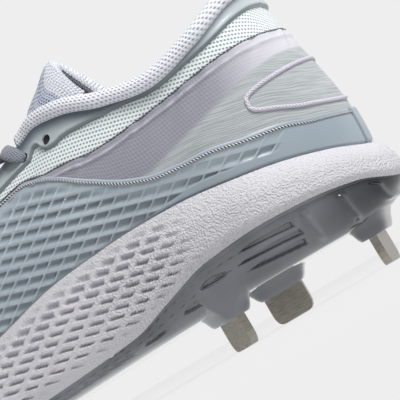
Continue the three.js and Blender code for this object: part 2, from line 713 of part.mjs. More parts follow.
// A row of the tongue between the throat's edges, with a wing under each side of the upper.
function tuckedRow(share) {
  const u = Math.acos(1 - 2 * share) / (2 * Math.PI);
  const wing = (side, down) => wallPoint(side, 1 - down / wallLength(side), -(UPPER_WALL + 3 * GAP));
  const [outer, inner] = [wing(u, 0), wing(1 - u, 0)];
  const crown = outer.clone().add(inner).divideScalar(2);
  crown.z += 2 * TONGUE_ARCH * outer.distanceTo(inner);
  const arch = new THREE.QuadraticBezierCurve3(outer, crown, inner);
  return [
    wing(u, TONGUE_WING),
    wing(u, TONGUE_WING / 2),
    ...shares(TONGUE_COLUMNS - 4).map((t) => arch.getPoint(t)),
    wing(1 - u, TONGUE_WING / 2),
    wing(1 - u, TONGUE_WING),
  ];
}

// A row of the standing part, an arc from edge to edge.
function standingRow(row) {
  const middle = place(row.along * LENGTH, 0, row.up * TONGUE_HEIGHT);
  const edge = place(row.edgeAlong * LENGTH, row.edgeAcross * BALL_WIDTH, row.edgeUp * TONGUE_HEIGHT);
  return shares(TONGUE_COLUMNS).map((t) => {
    const angle = (t - 0.5) * Math.PI;
    const point = middle.clone().lerp(edge, 1 - Math.cos(angle));
    return point.setY(edge.y * Math.sin(angle));
  });
}

function tongueSolid() {
  const tucked = shares(TONGUE_ROWS).map((s) =>
    tuckedRow(THREE.MathUtils.lerp(TONGUE_START, TONGUE_LEAVES, s)),
  );
  const rows = [...tucked, ...TONGUE_TOP.map(standingRow)];
  const last = rows.length - 1;
  const backs = rows.map((row, i) => {
    const run = rows[Math.min(i + 1, last)][TONGUE_COLUMNS / 2].clone();
    run.sub(rows[Math.max(i - 1, 0)][TONGUE_COLUMNS / 2]);
    const thick = TONGUE_THICKNESS * (0.6 + (0.4 * i) / last);
    return row.map((p, k) => {
      const across = row[Math.min(k + 1, TONGUE_COLUMNS)].clone().sub(row[Math.max(k - 1, 0)]);
      return p.clone().addScaledVector(across.cross(run).normalize(), thick);
    });
  });
  const faces = [...quads(backs[0], rows[0]), ...quads(rows[last], backs[last])];
  for (let i = 0; i < last; i++) {
    faces.push(...quads(rows[i], rows[i + 1]), ...quads(backs[i + 1], backs[i], { down: true }));
    const side = (k) => quads([rows[i + 1][k], rows[i][k]], [backs[i + 1][k], backs[i][k]]);
    faces.push(...side(0).reverse(), ...side(TONGUE_COLUMNS));
  }
  return solidFrom(faces);
}

// The lace: a bar at the lowest eyelets and crossings above it, all joined.
const LACE_STEPS = 6;

function laceRun([sideA, numberA], [sideB, numberB]) {
  const ends = [eyelet(sideA, numberA), eyelet(sideB, numberB)];
  const lift = 5 * GAP + FILM_THICKNESS + LACE_THICKNESS / 2;
  const [from, to] = ends.map(({ u, v }) => wallPoint(u, v, lift));
  const [normalA, normalB] = ends.map(({ normal }) => normal);
  const reach = from.distanceTo(to);
  const [outA, outB] = [normalA, normalB].map((n) => n.clone().multiplyScalar(LACE_RISE * reach));
  const low = from.clone().lerp(to, 0.3).add(outA);
  const high = to.clone().lerp(from, 0.3).add(outB);
  const curve = new THREE.CubicBezierCurve3(from, low, high, to);
  return cordSolid({
    points: shares(LACE_STEPS).map((t) => curve.getPoint(t)),
    normals: shares(LACE_STEPS).map((t) => normalA.clone().lerp(normalB, t).normalize()),
    width: LACE_WIDTH,
    thickness: LACE_THICKNESS,
    sides: 6,
    closed: false,
  });
}

function laceSolid() {
  let lace = laceRun([-1, LACED_EYELETS], [1, LACED_EYELETS]);
  for (let k = LACED_EYELETS; k > 1; k--) {
    lace = lace.add(laceRun([-1, k], [1, k - 1])).add(laceRun([1, k], [-1, k - 1]));
  }
  return lace;
}

// Piping round the heel patch: a closed cord lying on the upper, centred on the back of the heel.
const PIPING_STEPS = 40;
const PATCH_TIP = 0.7;
const PATCH_SIDES = 0.6;

// The place on the edge that lies a distance round the heel from its middle, measured on the wall.
function placeRound(reach) {
  let [u, length] = [0, 0];
  const step = 0.0025;
  while (length < Math.abs(reach)) {
    length += wallPoint(u, 0.3, 0).distanceTo(wallPoint(u + step, 0.3, 0));
    u += step;
  }
  return reach < 0 ? u : 1 - u;
}

// The share of the wall that lies at a height.
function shareAtHeight(u, up) {
  let [low, high] = [0, 1];
  while (high - low > 1e-4) {
    const middle = (low + high) / 2;
    if (wallCurve(u).getPoint(middle).z < up) low = middle;
    else high = middle;
  }
  return low;
}

function pipingSolid() {
  const lift = GAP + PIPING_RADIUS * 1.15;
  const spots = Array.from({ length: PIPING_STEPS }, (_, i) => {
    const angle = (i / PIPING_STEPS) * 2 * Math.PI;
    const [c, s] = [Math.cos(angle), Math.sin(angle)];
    const u = placeRound(Math.sign(c) * Math.abs(c) ** PATCH_TIP * PATCH_REACH);
    const bottom = rowShare(RAND_ROW, u) + PATCH_CLEARANCE / wallLength(u);
    const rise = (1 + Math.sign(s) * Math.abs(s) ** PATCH_SIDES) / 2;
    return { u, v: THREE.MathUtils.lerp(bottom, shareAtHeight(u, PATCH_TOP), rise) };
  });
  const points = spots.map(({ u, v }) => wallPoint(u, v, lift));
  const normals = spots.map(({ u, v }, i) => wallPoint(u, v, lift + 1).sub(points[i]));
  const size = 2 * PIPING_RADIUS;
  return cordSolid({ points, normals, width: size, thickness: size, sides: 6, closed: true });
}

// Finishes.
const finish = (color, roughness, metalness = 0, opacity = 1) =>
  new THREE.MeshStandardMaterial({ color, roughness, metalness, opacity, transparent: opacity < 1 });
const FINISHES = {
  plate: finish("#9a9fa6", 0.15, 0, 0.6),
  foam: finish("#dcd9e2", 0.7),
  textile: finish("#c3c5cc", 0.85),
  film: finish("#aebac3", 0.4),
  lining: finish("#d3cfda", 0.95),
  lace: finish("#d9dde6", 0.8),
  piping: finish("#dcd6e6", 0.8),
  steel: finish("#8d877d", 0.3, 1),
};

function meshOf(solid, name, material) {
  const made = solid.getMesh();
  const geometry = new THREE.BufferGeometry();
  geometry.setAttribute("position", new THREE.BufferAttribute(new Float32Array(made.vertProperties), 3));
  geometry.setIndex(new THREE.BufferAttribute(new Uint32Array(made.triVerts), 1));
  geometry.computeVertexNormals();
  const mesh = new THREE.Mesh(geometry, material);
  mesh.name = name;
  return mesh;
}

const shoe = new THREE.Group();
shoe.add(meshOf(plateSolid(), "outsole_plate", FINISHES.plate));
for (const blade of BLADES) {
  const steel = placeBlade(bladeSolid(0), blade, tipHeight(blade));
  shoe.add(meshOf(steel, blade.name, FINISHES.steel));
}
shoe.add(meshOf(midsoleSolid(), "midsole", FINISHES.foam));
shoe.add(meshOf(insoleSolid(), "insole", FINISHES.lining));
shoe.add(meshOf(upperSolid(), "upper", FINISHES.textile));
shoe.add(meshOf(randSolid(), "rand", FINISHES.film));
shoe.add(meshOf(toeCapSolid(), "toe_cap", FINISHES.film));
shoe.add(meshOf(eyestaySolid(), "eyestay", FINISHES.film));
shoe.add(meshOf(collarSolid(), "collar_roll", FINISHES.lining));
shoe.add(meshOf(tongueSolid(), "tongue", FINISHES.textile));
shoe.add(meshOf(pipingSolid(), "heel_piping", FINISHES.piping));
shoe.add(meshOf(laceSolid(), "lace", FINISHES.lace));

// The frame's origin is under the middle of the shoe, on the ground.
const box = new THREE.Box3().setFromObject(shoe);
const middle = box.getCenter(new THREE.Vector3());
shoe.position.set(-middle.x, -middle.y, -box.min.z);

export default shoe;
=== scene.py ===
# %% [markdown]
# # A low baseball cleat
#
# This is the left shoe of a pair, standing empty on its steel blades. The CAD model gives every size
# and place. Here each part of the shoe gets the surface that the real one shows: knit, mesh, puckered
# cloth, moulded film, foam with a grained skin, a glossy plate and brushed steel. The foot's side of
# the shoe and its front half are dressed in the same way as the heel, which the camera sees best.

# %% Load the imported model
import math

import bpy
import numpy as np
from mathutils import Matrix, Vector


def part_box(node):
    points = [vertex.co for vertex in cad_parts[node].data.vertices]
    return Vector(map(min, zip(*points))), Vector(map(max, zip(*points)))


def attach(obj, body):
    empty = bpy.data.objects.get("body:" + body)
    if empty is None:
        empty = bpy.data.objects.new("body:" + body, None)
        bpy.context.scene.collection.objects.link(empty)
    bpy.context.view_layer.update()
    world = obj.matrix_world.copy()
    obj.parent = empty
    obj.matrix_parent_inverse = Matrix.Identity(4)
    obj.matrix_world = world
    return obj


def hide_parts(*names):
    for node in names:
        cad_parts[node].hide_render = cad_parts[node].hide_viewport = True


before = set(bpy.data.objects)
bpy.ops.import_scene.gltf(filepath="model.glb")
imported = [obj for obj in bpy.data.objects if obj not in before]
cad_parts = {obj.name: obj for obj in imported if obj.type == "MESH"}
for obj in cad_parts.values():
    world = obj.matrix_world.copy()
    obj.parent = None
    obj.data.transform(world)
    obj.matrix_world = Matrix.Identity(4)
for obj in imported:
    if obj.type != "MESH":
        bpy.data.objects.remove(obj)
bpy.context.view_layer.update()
MM = 0.001


# %% [markdown]
# ## The camera
#
# The real picture is a close view of the heel, rolled so that the toe points down to the left. Its
# camera stands a little behind the shoe and just above the ground. A camera that looks at a point is
# turned about its own line of sight, which rolls the picture without moving what it looks at.

# %% Place the camera
LENGTH = 300.0
FRAME_PIXELS = 400
PIXELS_PER_MM = 3.2
AIM = Vector((LENGTH / 2 - 54.5, -30.0, 47.2)) * MM
STAND = Vector((LENGTH / 2 + 131.3, -622.9, 5.0)) * MM
ROLL = math.radians(-30.5)

camera_data = bpy.data.cameras.new("camera")
camera = bpy.data.objects.new("camera", camera_data)
bpy.context.scene.collection.objects.link(camera)
sight = (AIM - STAND).to_track_quat("-Z", "Y").to_matrix() @ Matrix.Rotation(ROLL, 3, "Z")
camera.matrix_world = Matrix.Translation(STAND) @ sight.to_4x4()
camera_data.sensor_width = 36.0
camera_data.lens = PIXELS_PER_MM * (AIM - STAND).length / MM / FRAME_PIXELS * camera_data.sensor_width
camera_data.clip_start = 0.01
bpy.context.scene.camera = camera
print("the lens is", round(camera_data.lens, 1), "mm long")

# %% [markdown]
# ## The shape of the shoe
#
# A shoe is drawn on a last. Its outline is a curve round the sole, so a place on the shoe is given by
# two numbers: u runs round the edge from the heel, positive on the outer side and negative on the inner
# side, and v runs up the wall from the foam to the top line. The tables are the ones that the solids
# were built from, in shares of a few named sizes, and a smooth curve is drawn through each column.

# %% Sizes in millimetres
BALL_WIDTH = 107.0
COLLAR_HEIGHT = 102.0
BITE_HEIGHT = 50.0
PLATE_EDGE_HEIGHT = 30.0
GROUND_CLEARANCE = 14.5
FOOTBED_HEIGHT = 31.0
TOE_SHIFT = 13.0
GAP = 0.3
PLATE_WALL = 1.5
PLATE_FLOOR = 2.4
RIM_INSET = 4.0
RIM_WALL = 1.8
CUP_INSET = 8.5
UPPER_WALL = 2.0
QUARTER_BULGE = 3.2
RIDGE_SLOPE = 0.22
HEEL_ROUND, TOE_ROUND, TOE_FULLNESS = 0.15, 0.26, 2.25
THROAT_END = 0.66


def table(columns, *rows):
    return {name: np.array(values, float) for name, values in zip(columns.split(), zip(*rows))}


OUTLINE = table(
    "at outer inner",
    (0.0, 0.345, 0.335), (0.1, 0.37, 0.35), (0.2, 0.38, 0.345), (0.32, 0.375, 0.31),
    (0.45, 0.385, 0.3), (0.55, 0.43, 0.34), (0.66, 0.48, 0.425), (0.75, 0.495, 0.48),
    (0.84, 0.47, 0.505), (0.92, 0.42, 0.5), (1.0, 0.34, 0.47),
)
SOLE = table(
    "at under edge bite footbed",
    (0.0, 1.36, 0.75, 0.72, 1.02), (0.03, 1.1, 0.9, 0.8, 1.0), (0.08, 1.0, 0.98, 0.884, 1.0),
    (0.13, 1.0, 1.0, 0.935, 1.0), (0.2, 1.0, 0.957, 0.988, 1.0), (0.26, 0.99, 0.8, 1.0, 0.99),
    (0.31, 0.97, 0.66, 0.988, 0.97), (0.36, 0.94, 0.62, 0.965, 0.94), (0.45, 0.88, 0.57, 0.85, 0.87),
    (0.55, 0.84, 0.53, 0.73, 0.79), (0.68, 0.83, 0.51, 0.65, 0.72), (0.8, 0.84, 0.53, 0.64, 0.71),
    (0.9, 1.04, 0.66, 0.69, 0.78), (1.0, 1.66, 0.93, 0.82, 0.98),
)
TOP = table(
    "at along across up lean",
    (0.0, 0.047, 0.0, 0.97, 0), (0.02, 0.05, 0.105, 0.962, 0), (0.05, 0.065, 0.185, 0.94, 0),
    (0.1, 0.103, 0.24, 0.887, 0), (0.17, 0.167, 0.262, 0.843, 0.02), (0.23, 0.223, 0.26, 0.876, 0.1),
    (0.28, 0.273, 0.232, 0.93, 0.25), (0.315, 0.31, 0.193, 0.946, 0.38), (0.34, 0.337, 0.165, 0.926, 0.45),
    (0.41, 0.4, 0.15, 0.868, 0.55), (0.49, 0.477, 0.14, 0.794, 0.65), (0.57, 0.55, 0.125, 0.73, 0.78),
    (0.63, 0.607, 0.085, 0.686, 0.92), (0.66, 0.632, 0.0, 0.672, 1), (0.74, 0.677, 0.0, 0.642, 1),
    (0.84, 0.723, 0.0, 0.612, 1), (1.0, 0.773, 0.0, 0.58, 1),
)
OVERLAYS = table(
    "at rand stay",
    (0.0, 0.2, 0.9), (0.03, 0.195, 0.9), (0.06, 0.22, 0.905), (0.1, 0.24, 0.925), (0.15, 0.29, 0.95),
    (0.2, 0.285, 0.945), (0.235, 0.33, 0.905), (0.275, 0.41, 0.81), (0.315, 0.52, 0.745),
    (0.36, 0.63, 0.75), (0.43, 0.65, 0.75), (0.55, 0.58, 0.75), (0.7, 0.47, 0.77), (0.83, 0.37, 0.78),
    (0.9, 0.37, 0.79), (1.0, 0.42, 0.8),
)


# %% Read a table
def hermite(s, first, last, first_slope, last_slope):
    """A cubic from first to last, with a given slope at each end."""
    return (
        first * (2 * s**3 - 3 * s**2 + 1)
        + last * (3 * s**2 - 2 * s**3)
        + first_slope * (s**3 - 2 * s**2 + s)
        + last_slope * (s**3 - s**2)
    )


def read(rows, at, column):
    x, y = rows["at"], rows[column]
    at = np.clip(np.asarray(at, float), x[0], x[-1])
    slope = np.diff(y) / np.diff(x)
    before, after = slope[:-1], slope[1:]
    total = np.where(before + after == 0, 1, before + after)
    middle = np.where(before * after <= 0, 0, 2 * before * after / total)
    tangent = np.concatenate([[slope[0]], middle, [slope[-1]]])
    i = np.clip(np.searchsorted(x, at, side="right") - 1, 0, len(x) - 2)
    width = x[i + 1] - x[i]
    s = (at - x[i]) / width
    return hermite(s, y[i], y[i + 1], width * tangent[i], width * tangent[i + 1])


def share(u):
    return (1 - np.cos(2 * np.pi * np.asarray(u, float))) / 2


def place_at(along_share):
    return np.arccos(1 - 2 * np.asarray(along_share, float)) / (2 * np.pi)


# %% The edge of the sole in plan
def edge(u):
    u = np.asarray(u, float)
    at = share(u)
    inner = np.mod(u, 1) > 0.5
    nominal = np.where(inner, read(OUTLINE, at, "inner"), -read(OUTLINE, at, "outer")) * BALL_WIDTH
    heel = np.sqrt(1 - (1 - np.minimum(at / HEEL_ROUND, 1)) ** 2)
    toe = np.maximum((at - 1 + TOE_ROUND) / TOE_ROUND, 0)
    cap = np.maximum(1 - toe**TOE_FULLNESS, 0) ** (1 / TOE_FULLNESS)
    across = np.where(toe > 0, TOE_SHIFT + (nominal - TOE_SHIFT) * cap, nominal * heel)
    return np.stack([at * LENGTH, across], -1)


def outward(u, step=0.004):
    run = edge(u + step) - edge(u - step)
    normal = np.stack([run[..., 1], -run[..., 0]], -1)
    return normal / np.linalg.norm(normal, axis=-1, keepdims=True)


def level(along_share, column):
    size = {"under": GROUND_CLEARANCE, "edge": PLATE_EDGE_HEIGHT, "bite": BITE_HEIGHT}
    return read(SOLE, along_share, column) * size.get(column, FOOTBED_HEIGHT)


LOW, HIGH = (np.array(corner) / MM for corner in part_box("midsole"))
ROUND = np.arange(52) / 52
MIDDLE = (LOW[1] + HIGH[1]) / 2 - (edge(ROUND)[:, 1].min() + edge(ROUND)[:, 1].max()) / 2
print("the shoe's middle line lies at", round(MIDDLE, 2), "mm")


def place(along, across, up):
    return np.stack(np.broadcast_arrays(LENGTH / 2 - along, across + MIDDLE, up), -1)


def inset(u, depth, height):
    p = edge(u) - outward(u) * np.asarray(depth)[..., None]
    return place(p[..., 0], p[..., 1], height(p[..., 0] / LENGTH, share(u)))


# %% [markdown]
# ### The wall
#
# The wall is a fan of curves, one at each place round the edge. Each is a Bezier curve from the foam up
# to the top line, with two handles that make it bulge at the heel and lean over the foot in front.

# %% The wall of the upper
HANDLE, RIDGE_HANDLE = 0.36, 0.58


def top_line(u):
    at = share(u)
    along = read(TOP, at, "along") * LENGTH
    side = np.where(np.mod(u, 1) > 0.5, 1, -1)
    shift = TOE_SHIFT * np.maximum((along / LENGTH - 0.45) / 0.55, 0) ** 1.5
    across = read(TOP, at, "across") * BALL_WIDTH * side
    return place(along, shift + across, read(TOP, at, "up") * COLLAR_HEIGHT)


def wall_bones(u):
    u = np.asarray(u, float)
    base = inset(u, RIM_INSET + RIM_WALL + GAP, lambda own, beside: level(beside, "bite"))
    top = top_line(u)
    lean = read(TOP, share(u), "lean")[..., None]
    rise = (top - base)[..., 2:]
    out = outward(u)
    out = np.stack([-out[..., 0], out[..., 1], np.zeros_like(out[..., 0])], -1)
    reach = (base - top) * [1, 1, 0]
    up = np.array([0, 0, 1.0])
    low = base + out * QUARTER_BULGE * (1 - 0.4 * lean) + up * rise * (HANDLE + HANDLE * lean)
    fall = rise * HANDLE * (1 - lean) + RIDGE_SLOPE * RIDGE_HANDLE * lean * np.maximum(-reach[..., :1], 0)
    high = top + reach * RIDGE_HANDLE * lean + out * QUARTER_BULGE * 0.5 * (1 - lean) - up * fall
    return base, low, high, top


def bezier(bones, t):
    a, b, c, d = bones
    t = np.asarray(t, float)[..., None]
    return a * (1 - t) ** 3 + 3 * b * t * (1 - t) ** 2 + 3 * c * t**2 * (1 - t) + d * t**3


def wall_normal(u, v, step=0.004):
    bones = wall_bones(u)
    along = bezier(wall_bones(u + step), v) - bezier(wall_bones(u - step), v)
    up = bezier(bones, np.minimum(v + step, 1)) - bezier(bones, np.maximum(v - step, 0))
    normal = np.cross(up, along)
    normal /= np.maximum(np.linalg.norm(normal, axis=-1, keepdims=True), 1e-9)
    ridge = np.array([-RIDGE_SLOPE, 0, 1]) / math.hypot(1, RIDGE_SLOPE)
    return np.where(((v > 0.995) & (share(u) >= THROAT_END))[..., None], ridge, normal)


def wall(u, v, lift=0.0):
    u, v, lift = np.broadcast_arrays(np.asarray(u, float), np.asarray(v, float), lift)
    return bezier(wall_bones(u), v) + wall_normal(u, v) * np.asarray(lift)[..., None]


def wall_length(u):
    steps = np.linspace(0, 1, 25)
    u = np.asarray(u, float)
    points = bezier([b[..., None, :] for b in wall_bones(u)], np.broadcast_to(steps, u.shape + (25,)))
    return np.linalg.norm(np.diff(points, axis=-2), axis=-1).sum(-1)


def wall_share_at_height(u, height):
    u, height = np.broadcast_arrays(np.asarray(u, float), np.asarray(height, float))
    steps = np.linspace(0, 1, 101)
    ups = bezier([b[..., None, :] for b in wall_bones(u)], np.broadcast_to(steps, u.shape + (101,)))[..., 2]
    flat = [np.interp(h, z, steps) for h, z in zip(height.ravel(), ups.reshape(-1, 101))]
    return np.array(flat).reshape(u.shape)


# %% [markdown]
# ## From a grid to a skin
#
# Every covering on the shoe is a flat sheet laid on the last. So each one starts as a flat grid, whose
# points are then moved onto the wall, and its UV map is written in millimetres along and up the
# surface. A weave or a row of cells that reads that map keeps its real size everywhere. A Solidify
# modifier gives the sheet its thickness.

# %% Make a skin
def deselect():
    if bpy.context.object and bpy.context.object.mode != "OBJECT":
        bpy.ops.object.mode_set(mode="OBJECT")
    bpy.ops.object.select_all(action="DESELECT")


def apply_modifiers(piece):
    deselect()
    bpy.context.view_layer.objects.active = piece
    piece.select_set(True)
    for modifier in list(piece.modifiers):
        bpy.ops.object.modifier_apply(modifier=modifier.name)


def arc(points, axis):
    length = np.linalg.norm(np.diff(points, axis=axis), axis=-1)
    zero = np.zeros_like(np.take(length, [0], axis=axis))
    return np.concatenate([zero, np.cumsum(length, axis=axis)], axis=axis)


def grid_normals(points):
    normal = np.cross(np.gradient(points, axis=0), np.gradient(points, axis=1))
    return normal / np.maximum(np.linalg.norm(normal, axis=-1, keepdims=True), 1e-9)


def skin(name, points, thickness=0.0, closed=False, skirt=0.0, layers=None, level_rows=True):
    """Lay a grid on points[column, row]. layers holds named numbers for the material, one a point.

    A thin covering gets its edge from a skirt, a border that is turned down by so many millimetres.
    Its UV map runs along the middle row, or along each row on its own where level_rows is off.
    """
    layers = dict(layers or {})
    if skirt:
        down = grid_normals(points) * skirt
        points = np.pad(points, ((1, 1), (1, 1), (0, 0)), mode="edge")
        down = np.pad(down, ((1, 1), (1, 1), (0, 0)), mode="edge")
        down[1:-1, 1:-1] = 0
        points = points - down
        layers = {key: np.pad(values, 1, mode="edge") for key, values in layers.items()}
    columns, rows = points.shape[:2]
    run = arc(points, 0)
    run = run - run[columns // 2]
    s = np.repeat(run[:, rows // 2][:, None], rows, 1) if level_rows else run
    t = arc(points, 1)
    deselect()
    bpy.ops.mesh.primitive_grid_add(x_subdivisions=columns - 1, y_subdivisions=rows - 1, size=2)
    piece = bpy.context.object
    piece.name = name
    mesh = piece.data
    flat = np.empty(len(mesh.vertices) * 3, np.float32)
    mesh.vertices.foreach_get("co", flat)
    flat = flat.reshape(-1, 3)
    column = np.rint((flat[:, 0] + 1) / 2 * (columns - 1)).astype(int)
    row = np.rint((flat[:, 1] + 1) / 2 * (rows - 1)).astype(int)
    mesh.vertices.foreach_set("co", (points[column, row] * MM).astype(np.float32).ravel())
    corner = np.empty(len(mesh.loops), int)
    mesh.loops.foreach_get("vertex_index", corner)
    uv = np.stack([s[column[corner], row[corner]], t[column[corner], row[corner]]], -1)
    mesh.uv_layers[0].data.foreach_set("uv", uv.astype(np.float32).ravel())
    for layer, values in layers.items():
        made = mesh.attributes.new(layer, "FLOAT", "POINT")
        made.data.foreach_set("value", values[column, row].astype(np.float32))
    mesh.update()
    if closed:
        join_seam(piece)
    if thickness:
        solid = piece.modifiers.new("thickness", "SOLIDIFY")
        solid.thickness = thickness * MM
        solid.offset = -1
        solid.use_even_offset = False
        apply_modifiers(piece)
    bpy.ops.object.shade_smooth_by_angle(angle=math.radians(40))
    return piece


def join_seam(piece, fill=False):
    bpy.ops.object.mode_set(mode="EDIT")
    bpy.ops.mesh.select_all(action="SELECT")
    bpy.ops.mesh.remove_doubles(threshold=0.00001)
    if fill:
        bpy.ops.mesh.fill_holes(sides=0)
    bpy.ops.object.mode_set(mode="OBJECT")


def wear(piece, finish):
    piece.data.materials.clear()
    piece.data.materials.append(finish)


def dress(piece, finish, slot, *nodes):
    """Give a piece its material and body, and hide the CAD nodes that it stands for. The slot is not used."""
    wear(piece, finish)
    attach(piece, "root")
    if nodes:
        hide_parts(*nodes)
    print(piece.name, "has", len(piece.data.polygons), "faces")


# %% [markdown]
# ## Shader maths
#
# A procedural finish is arithmetic on coordinates. The small class below wraps a socket, so that the
# arithmetic is written as a formula, and each operator adds the Math node that does it.

# %% Wrap a socket
class Value:
    def __init__(self, finish, socket):
        self.finish, self.socket = finish, socket

    def math(self, operation, *others):
        return self.finish.node("ShaderNodeMath", {"operation": operation}, self, *others)

    def __add__(self, other): return self.math("ADD", other)
    def __radd__(self, other): return self.math("ADD", other)
    def __sub__(self, other): return self.math("SUBTRACT", other)
    def __mul__(self, other): return self.math("MULTIPLY", other)
    def __rmul__(self, other): return self.math("MULTIPLY", other)
    def __truediv__(self, other): return self.math("DIVIDE", other)
    def __pow__(self, other): return self.math("POWER", other)
    def __rsub__(self, other):
        return self.finish.node("ShaderNodeMath", {"operation": "SUBTRACT"}, other, self)

    def wave(self, pitch): return (self * (2 * math.pi / pitch)).math("SINE")
    def floor(self): return self.math("FLOOR")
    def fract(self): return self.math("FRACT")
    def size(self): return self.math("ABSOLUTE")
    def least(self, other): return self.math("MINIMUM", other)
    def most(self, other): return self.math("MAXIMUM", other)

    def step(self, low, high):
        return self.finish.node(
            "ShaderNodeMapRange", {"interpolation_type": "SMOOTHSTEP"}, self, low, high, 0.0, 1.0
        )


class Finish:
    """A material with one Principled shader, whose constants are set on its own sockets."""

    def __init__(self, name, **constants):
        self.material = bpy.data.materials.new(name)
        self.material.use_nodes = True
        self.tree = self.material.node_tree
        self.shader = self.tree.nodes["Principled BSDF"]
        print("finish:", name)
        for socket, value in constants.items():
            self.shader.inputs[socket.replace("_", " ")].default_value = value

    def node(self, kind, settings=(), *values, output=0, **named):
        made = self.tree.nodes.new(kind)
        for key, value in dict(settings).items():
            setattr(made, key, value)
        for key, value in [*enumerate(values), *named.items()]:
            self.plug(value, made.inputs[key if isinstance(key, int) else key.replace("_", " ")])
        return Value(self, made.outputs[output])

    def plug(self, value, socket):
        if isinstance(value, Value):
            self.tree.links.new(value.socket, socket)
        elif value is not None:
            socket.default_value = value

    def uv(self):
        split = self.tree.nodes.new("ShaderNodeSeparateXYZ")
        where = self.tree.nodes.new("ShaderNodeUVMap")
        self.tree.links.new(where.outputs[0], split.inputs[0])
        return Value(self, where.outputs[0]), Value(self, split.outputs[0]), Value(self, split.outputs[1])

    def noise(self, vector, scale, detail=2.0, roughness=0.5):
        return self.node(
            "ShaderNodeTexNoise", {}, Vector=vector, Scale=scale, Detail=detail, Roughness=roughness
        )

    def place(self):
        """Object coordinates in millimetres."""
        spot = self.node("ShaderNodeTexCoord", {}, output=3)
        return self.node("ShaderNodeVectorMath", {"operation": "SCALE"}, spot, Scale=1 / MM)

    def layer(self, name):
        """One of the numbers that the mesh carries at its points."""
        return self.node("ShaderNodeAttribute", {"attribute_name": name}, output=2)

    def blend(self, mask, first, second):
        made = self.tree.nodes.new("ShaderNodeMix")
        made.data_type = "RGBA"
        self.plug(mask, made.inputs[0])
        for value, socket in ((first, made.inputs[6]), (second, made.inputs[7])):
            self.plug(value if isinstance(value, Value) else (*value, 1.0), socket)
        return Value(self, made.outputs[2])

    def colour(self, value): self.plug(value, self.shader.inputs["Base Color"])
    def rough(self, value): self.plug(value, self.shader.inputs["Roughness"])

    def bump(self, height, distance, strength=1.0):
        made = self.node(
            "ShaderNodeBump", {}, Height=height, Distance=distance * MM, Strength=strength
        )
        self.plug(made, self.shader.inputs["Normal"])


# %% [markdown]
# ## Finishes
#
# Each finish is one of the shoe's own materials. They are pale and close in colour, so most of what
# the eye reads is relief: holes in the mesh, loops in the knit, grain on the foam.

# %% [markdown]
# ### Knit and mesh
#
# Both are rows of small cells, each row set off by half a cell. The fraction of a coordinate says where
# in its cell a place lies, and its distance from the middle makes a loop or a hole.

# %% Collar knit
def staggered(s, t, across, up):
    """Places within a cell, from -0.5 to 0.5, where each row is set off by half a cell."""
    row = (t / up).floor()
    return ((s / across) + row * 0.5).fract() - 0.5, (t / up).fract() - 0.5


def knit_finish(name, light, dark):
    """Loops in staggered rows. Each loop is a bump, and the gap beside it is a dark dot."""
    f = Finish(name, Roughness=0.85, Sheen_Weight=0.3)
    _, s, t = f.uv()
    x, y = staggered(s, t, KNIT_ACROSS, KNIT_UP)
    loop = ((x * 1.1 + y * 0.3) ** 2 + y**2) ** 0.5 * 2.0
    gap = 1.0 - loop.step(0.25, 0.75)
    fuzz = f.noise(f.place(), 2.2, 3.0)
    f.colour(f.blend((gap * 0.9 + (fuzz - 0.5) * 0.25).most(0.0), light, dark))
    f.bump(loop.least(0.9) + fuzz * 0.3, 0.4, 0.9)
    return f.material


KNIT_ACROSS, KNIT_UP = 1.45, 1.15
COLLAR_KNIT = knit_finish("collar knit", (0.8, 0.82, 0.88), (0.32, 0.33, 0.38))


# %% Open mesh
def mesh_finish():
    """A white web over a darker ground: oval holes in staggered rows."""
    f = Finish("open mesh", Roughness=0.8, Sheen_Weight=0.2)
    _, s, t = f.uv()
    lean = math.radians(16)
    a, b = s * math.cos(lean) - t * math.sin(lean), t * math.cos(lean) + s * math.sin(lean)
    x, y = staggered(a, b, MESH_PITCH, MESH_PITCH)
    reach = ((x * 0.95) ** 2 + (y * 1.2) ** 2) ** 0.5
    hole = 1.0 - reach.step(0.2, 0.41)
    fibre = f.noise(f.place(), 1.8, 3.0)
    web = f.blend(fibre, (0.73, 0.79, 0.8), (0.86, 0.91, 0.91))
    f.colour(f.blend(hole, web, (0.29, 0.33, 0.36)))
    f.bump((1.0 - hole) + fibre * 0.2, 0.4, 0.6)
    return f.material


MESH_PITCH = 1.3
OPEN_MESH = mesh_finish()


# %% [markdown]
# ### Woven cloth
#
# Two sine waves of the same pitch cross into squares, and a noise that is stretched along the cloth
# makes the heel's lines. Named numbers on the mesh say where each weave shows.

# %% Quarter cloth with two weaves
def quarter_finish():
    """Fine square ripstop in front, and fine lines at the heel, with a soft change between them."""
    f = Finish("quarter cloth", Roughness=0.75, Sheen_Weight=0.25)
    vector, s, t = f.uv()
    warp = f.noise(f.place(), 0.09, 2.0)
    a, b = s + t * 0.35 + warp * 2.0, t - s * 0.2 + warp * 2.0
    squares = (a.wave(2.5).size() ** 0.3).least(b.wave(2.5).size() ** 0.3)
    turn = (0.0, 0.0, math.radians(5))
    streak = f.node("ShaderNodeMapping", {}, vector, (0.0, 0.0, 0.0), turn, (0.06, 3.0, 1.0))
    lines = f.noise(streak, 1.0, 3.0, 0.6)
    heel = f.layer("heel")
    shade = f.noise(f.place(), 0.05, 2.0)
    front_colour = f.blend(shade, (0.2, 0.205, 0.25), (0.27, 0.275, 0.325))
    front_colour = f.blend(squares, (0.37, 0.37, 0.43), front_colour)
    back = f.layer("back")
    front_colour = f.blend(back, front_colour, (0.6, 0.59, 0.64))
    heel_colour = f.blend(lines.step(0.36, 0.6), (0.3, 0.33, 0.345), (0.45, 0.48, 0.49))
    fold = f.layer("fold")
    # A painted highlight lightens the cloth along the fold
    f.colour(f.blend(fold * 0.6, f.blend(heel, front_colour, heel_colour), (0.6, 0.6, 0.66)))
    f.bump(lines * heel - squares * (1.0 - heel) * 0.4, 0.3, 0.7)
    return f.material


QUARTER_CLOTH = quarter_finish()
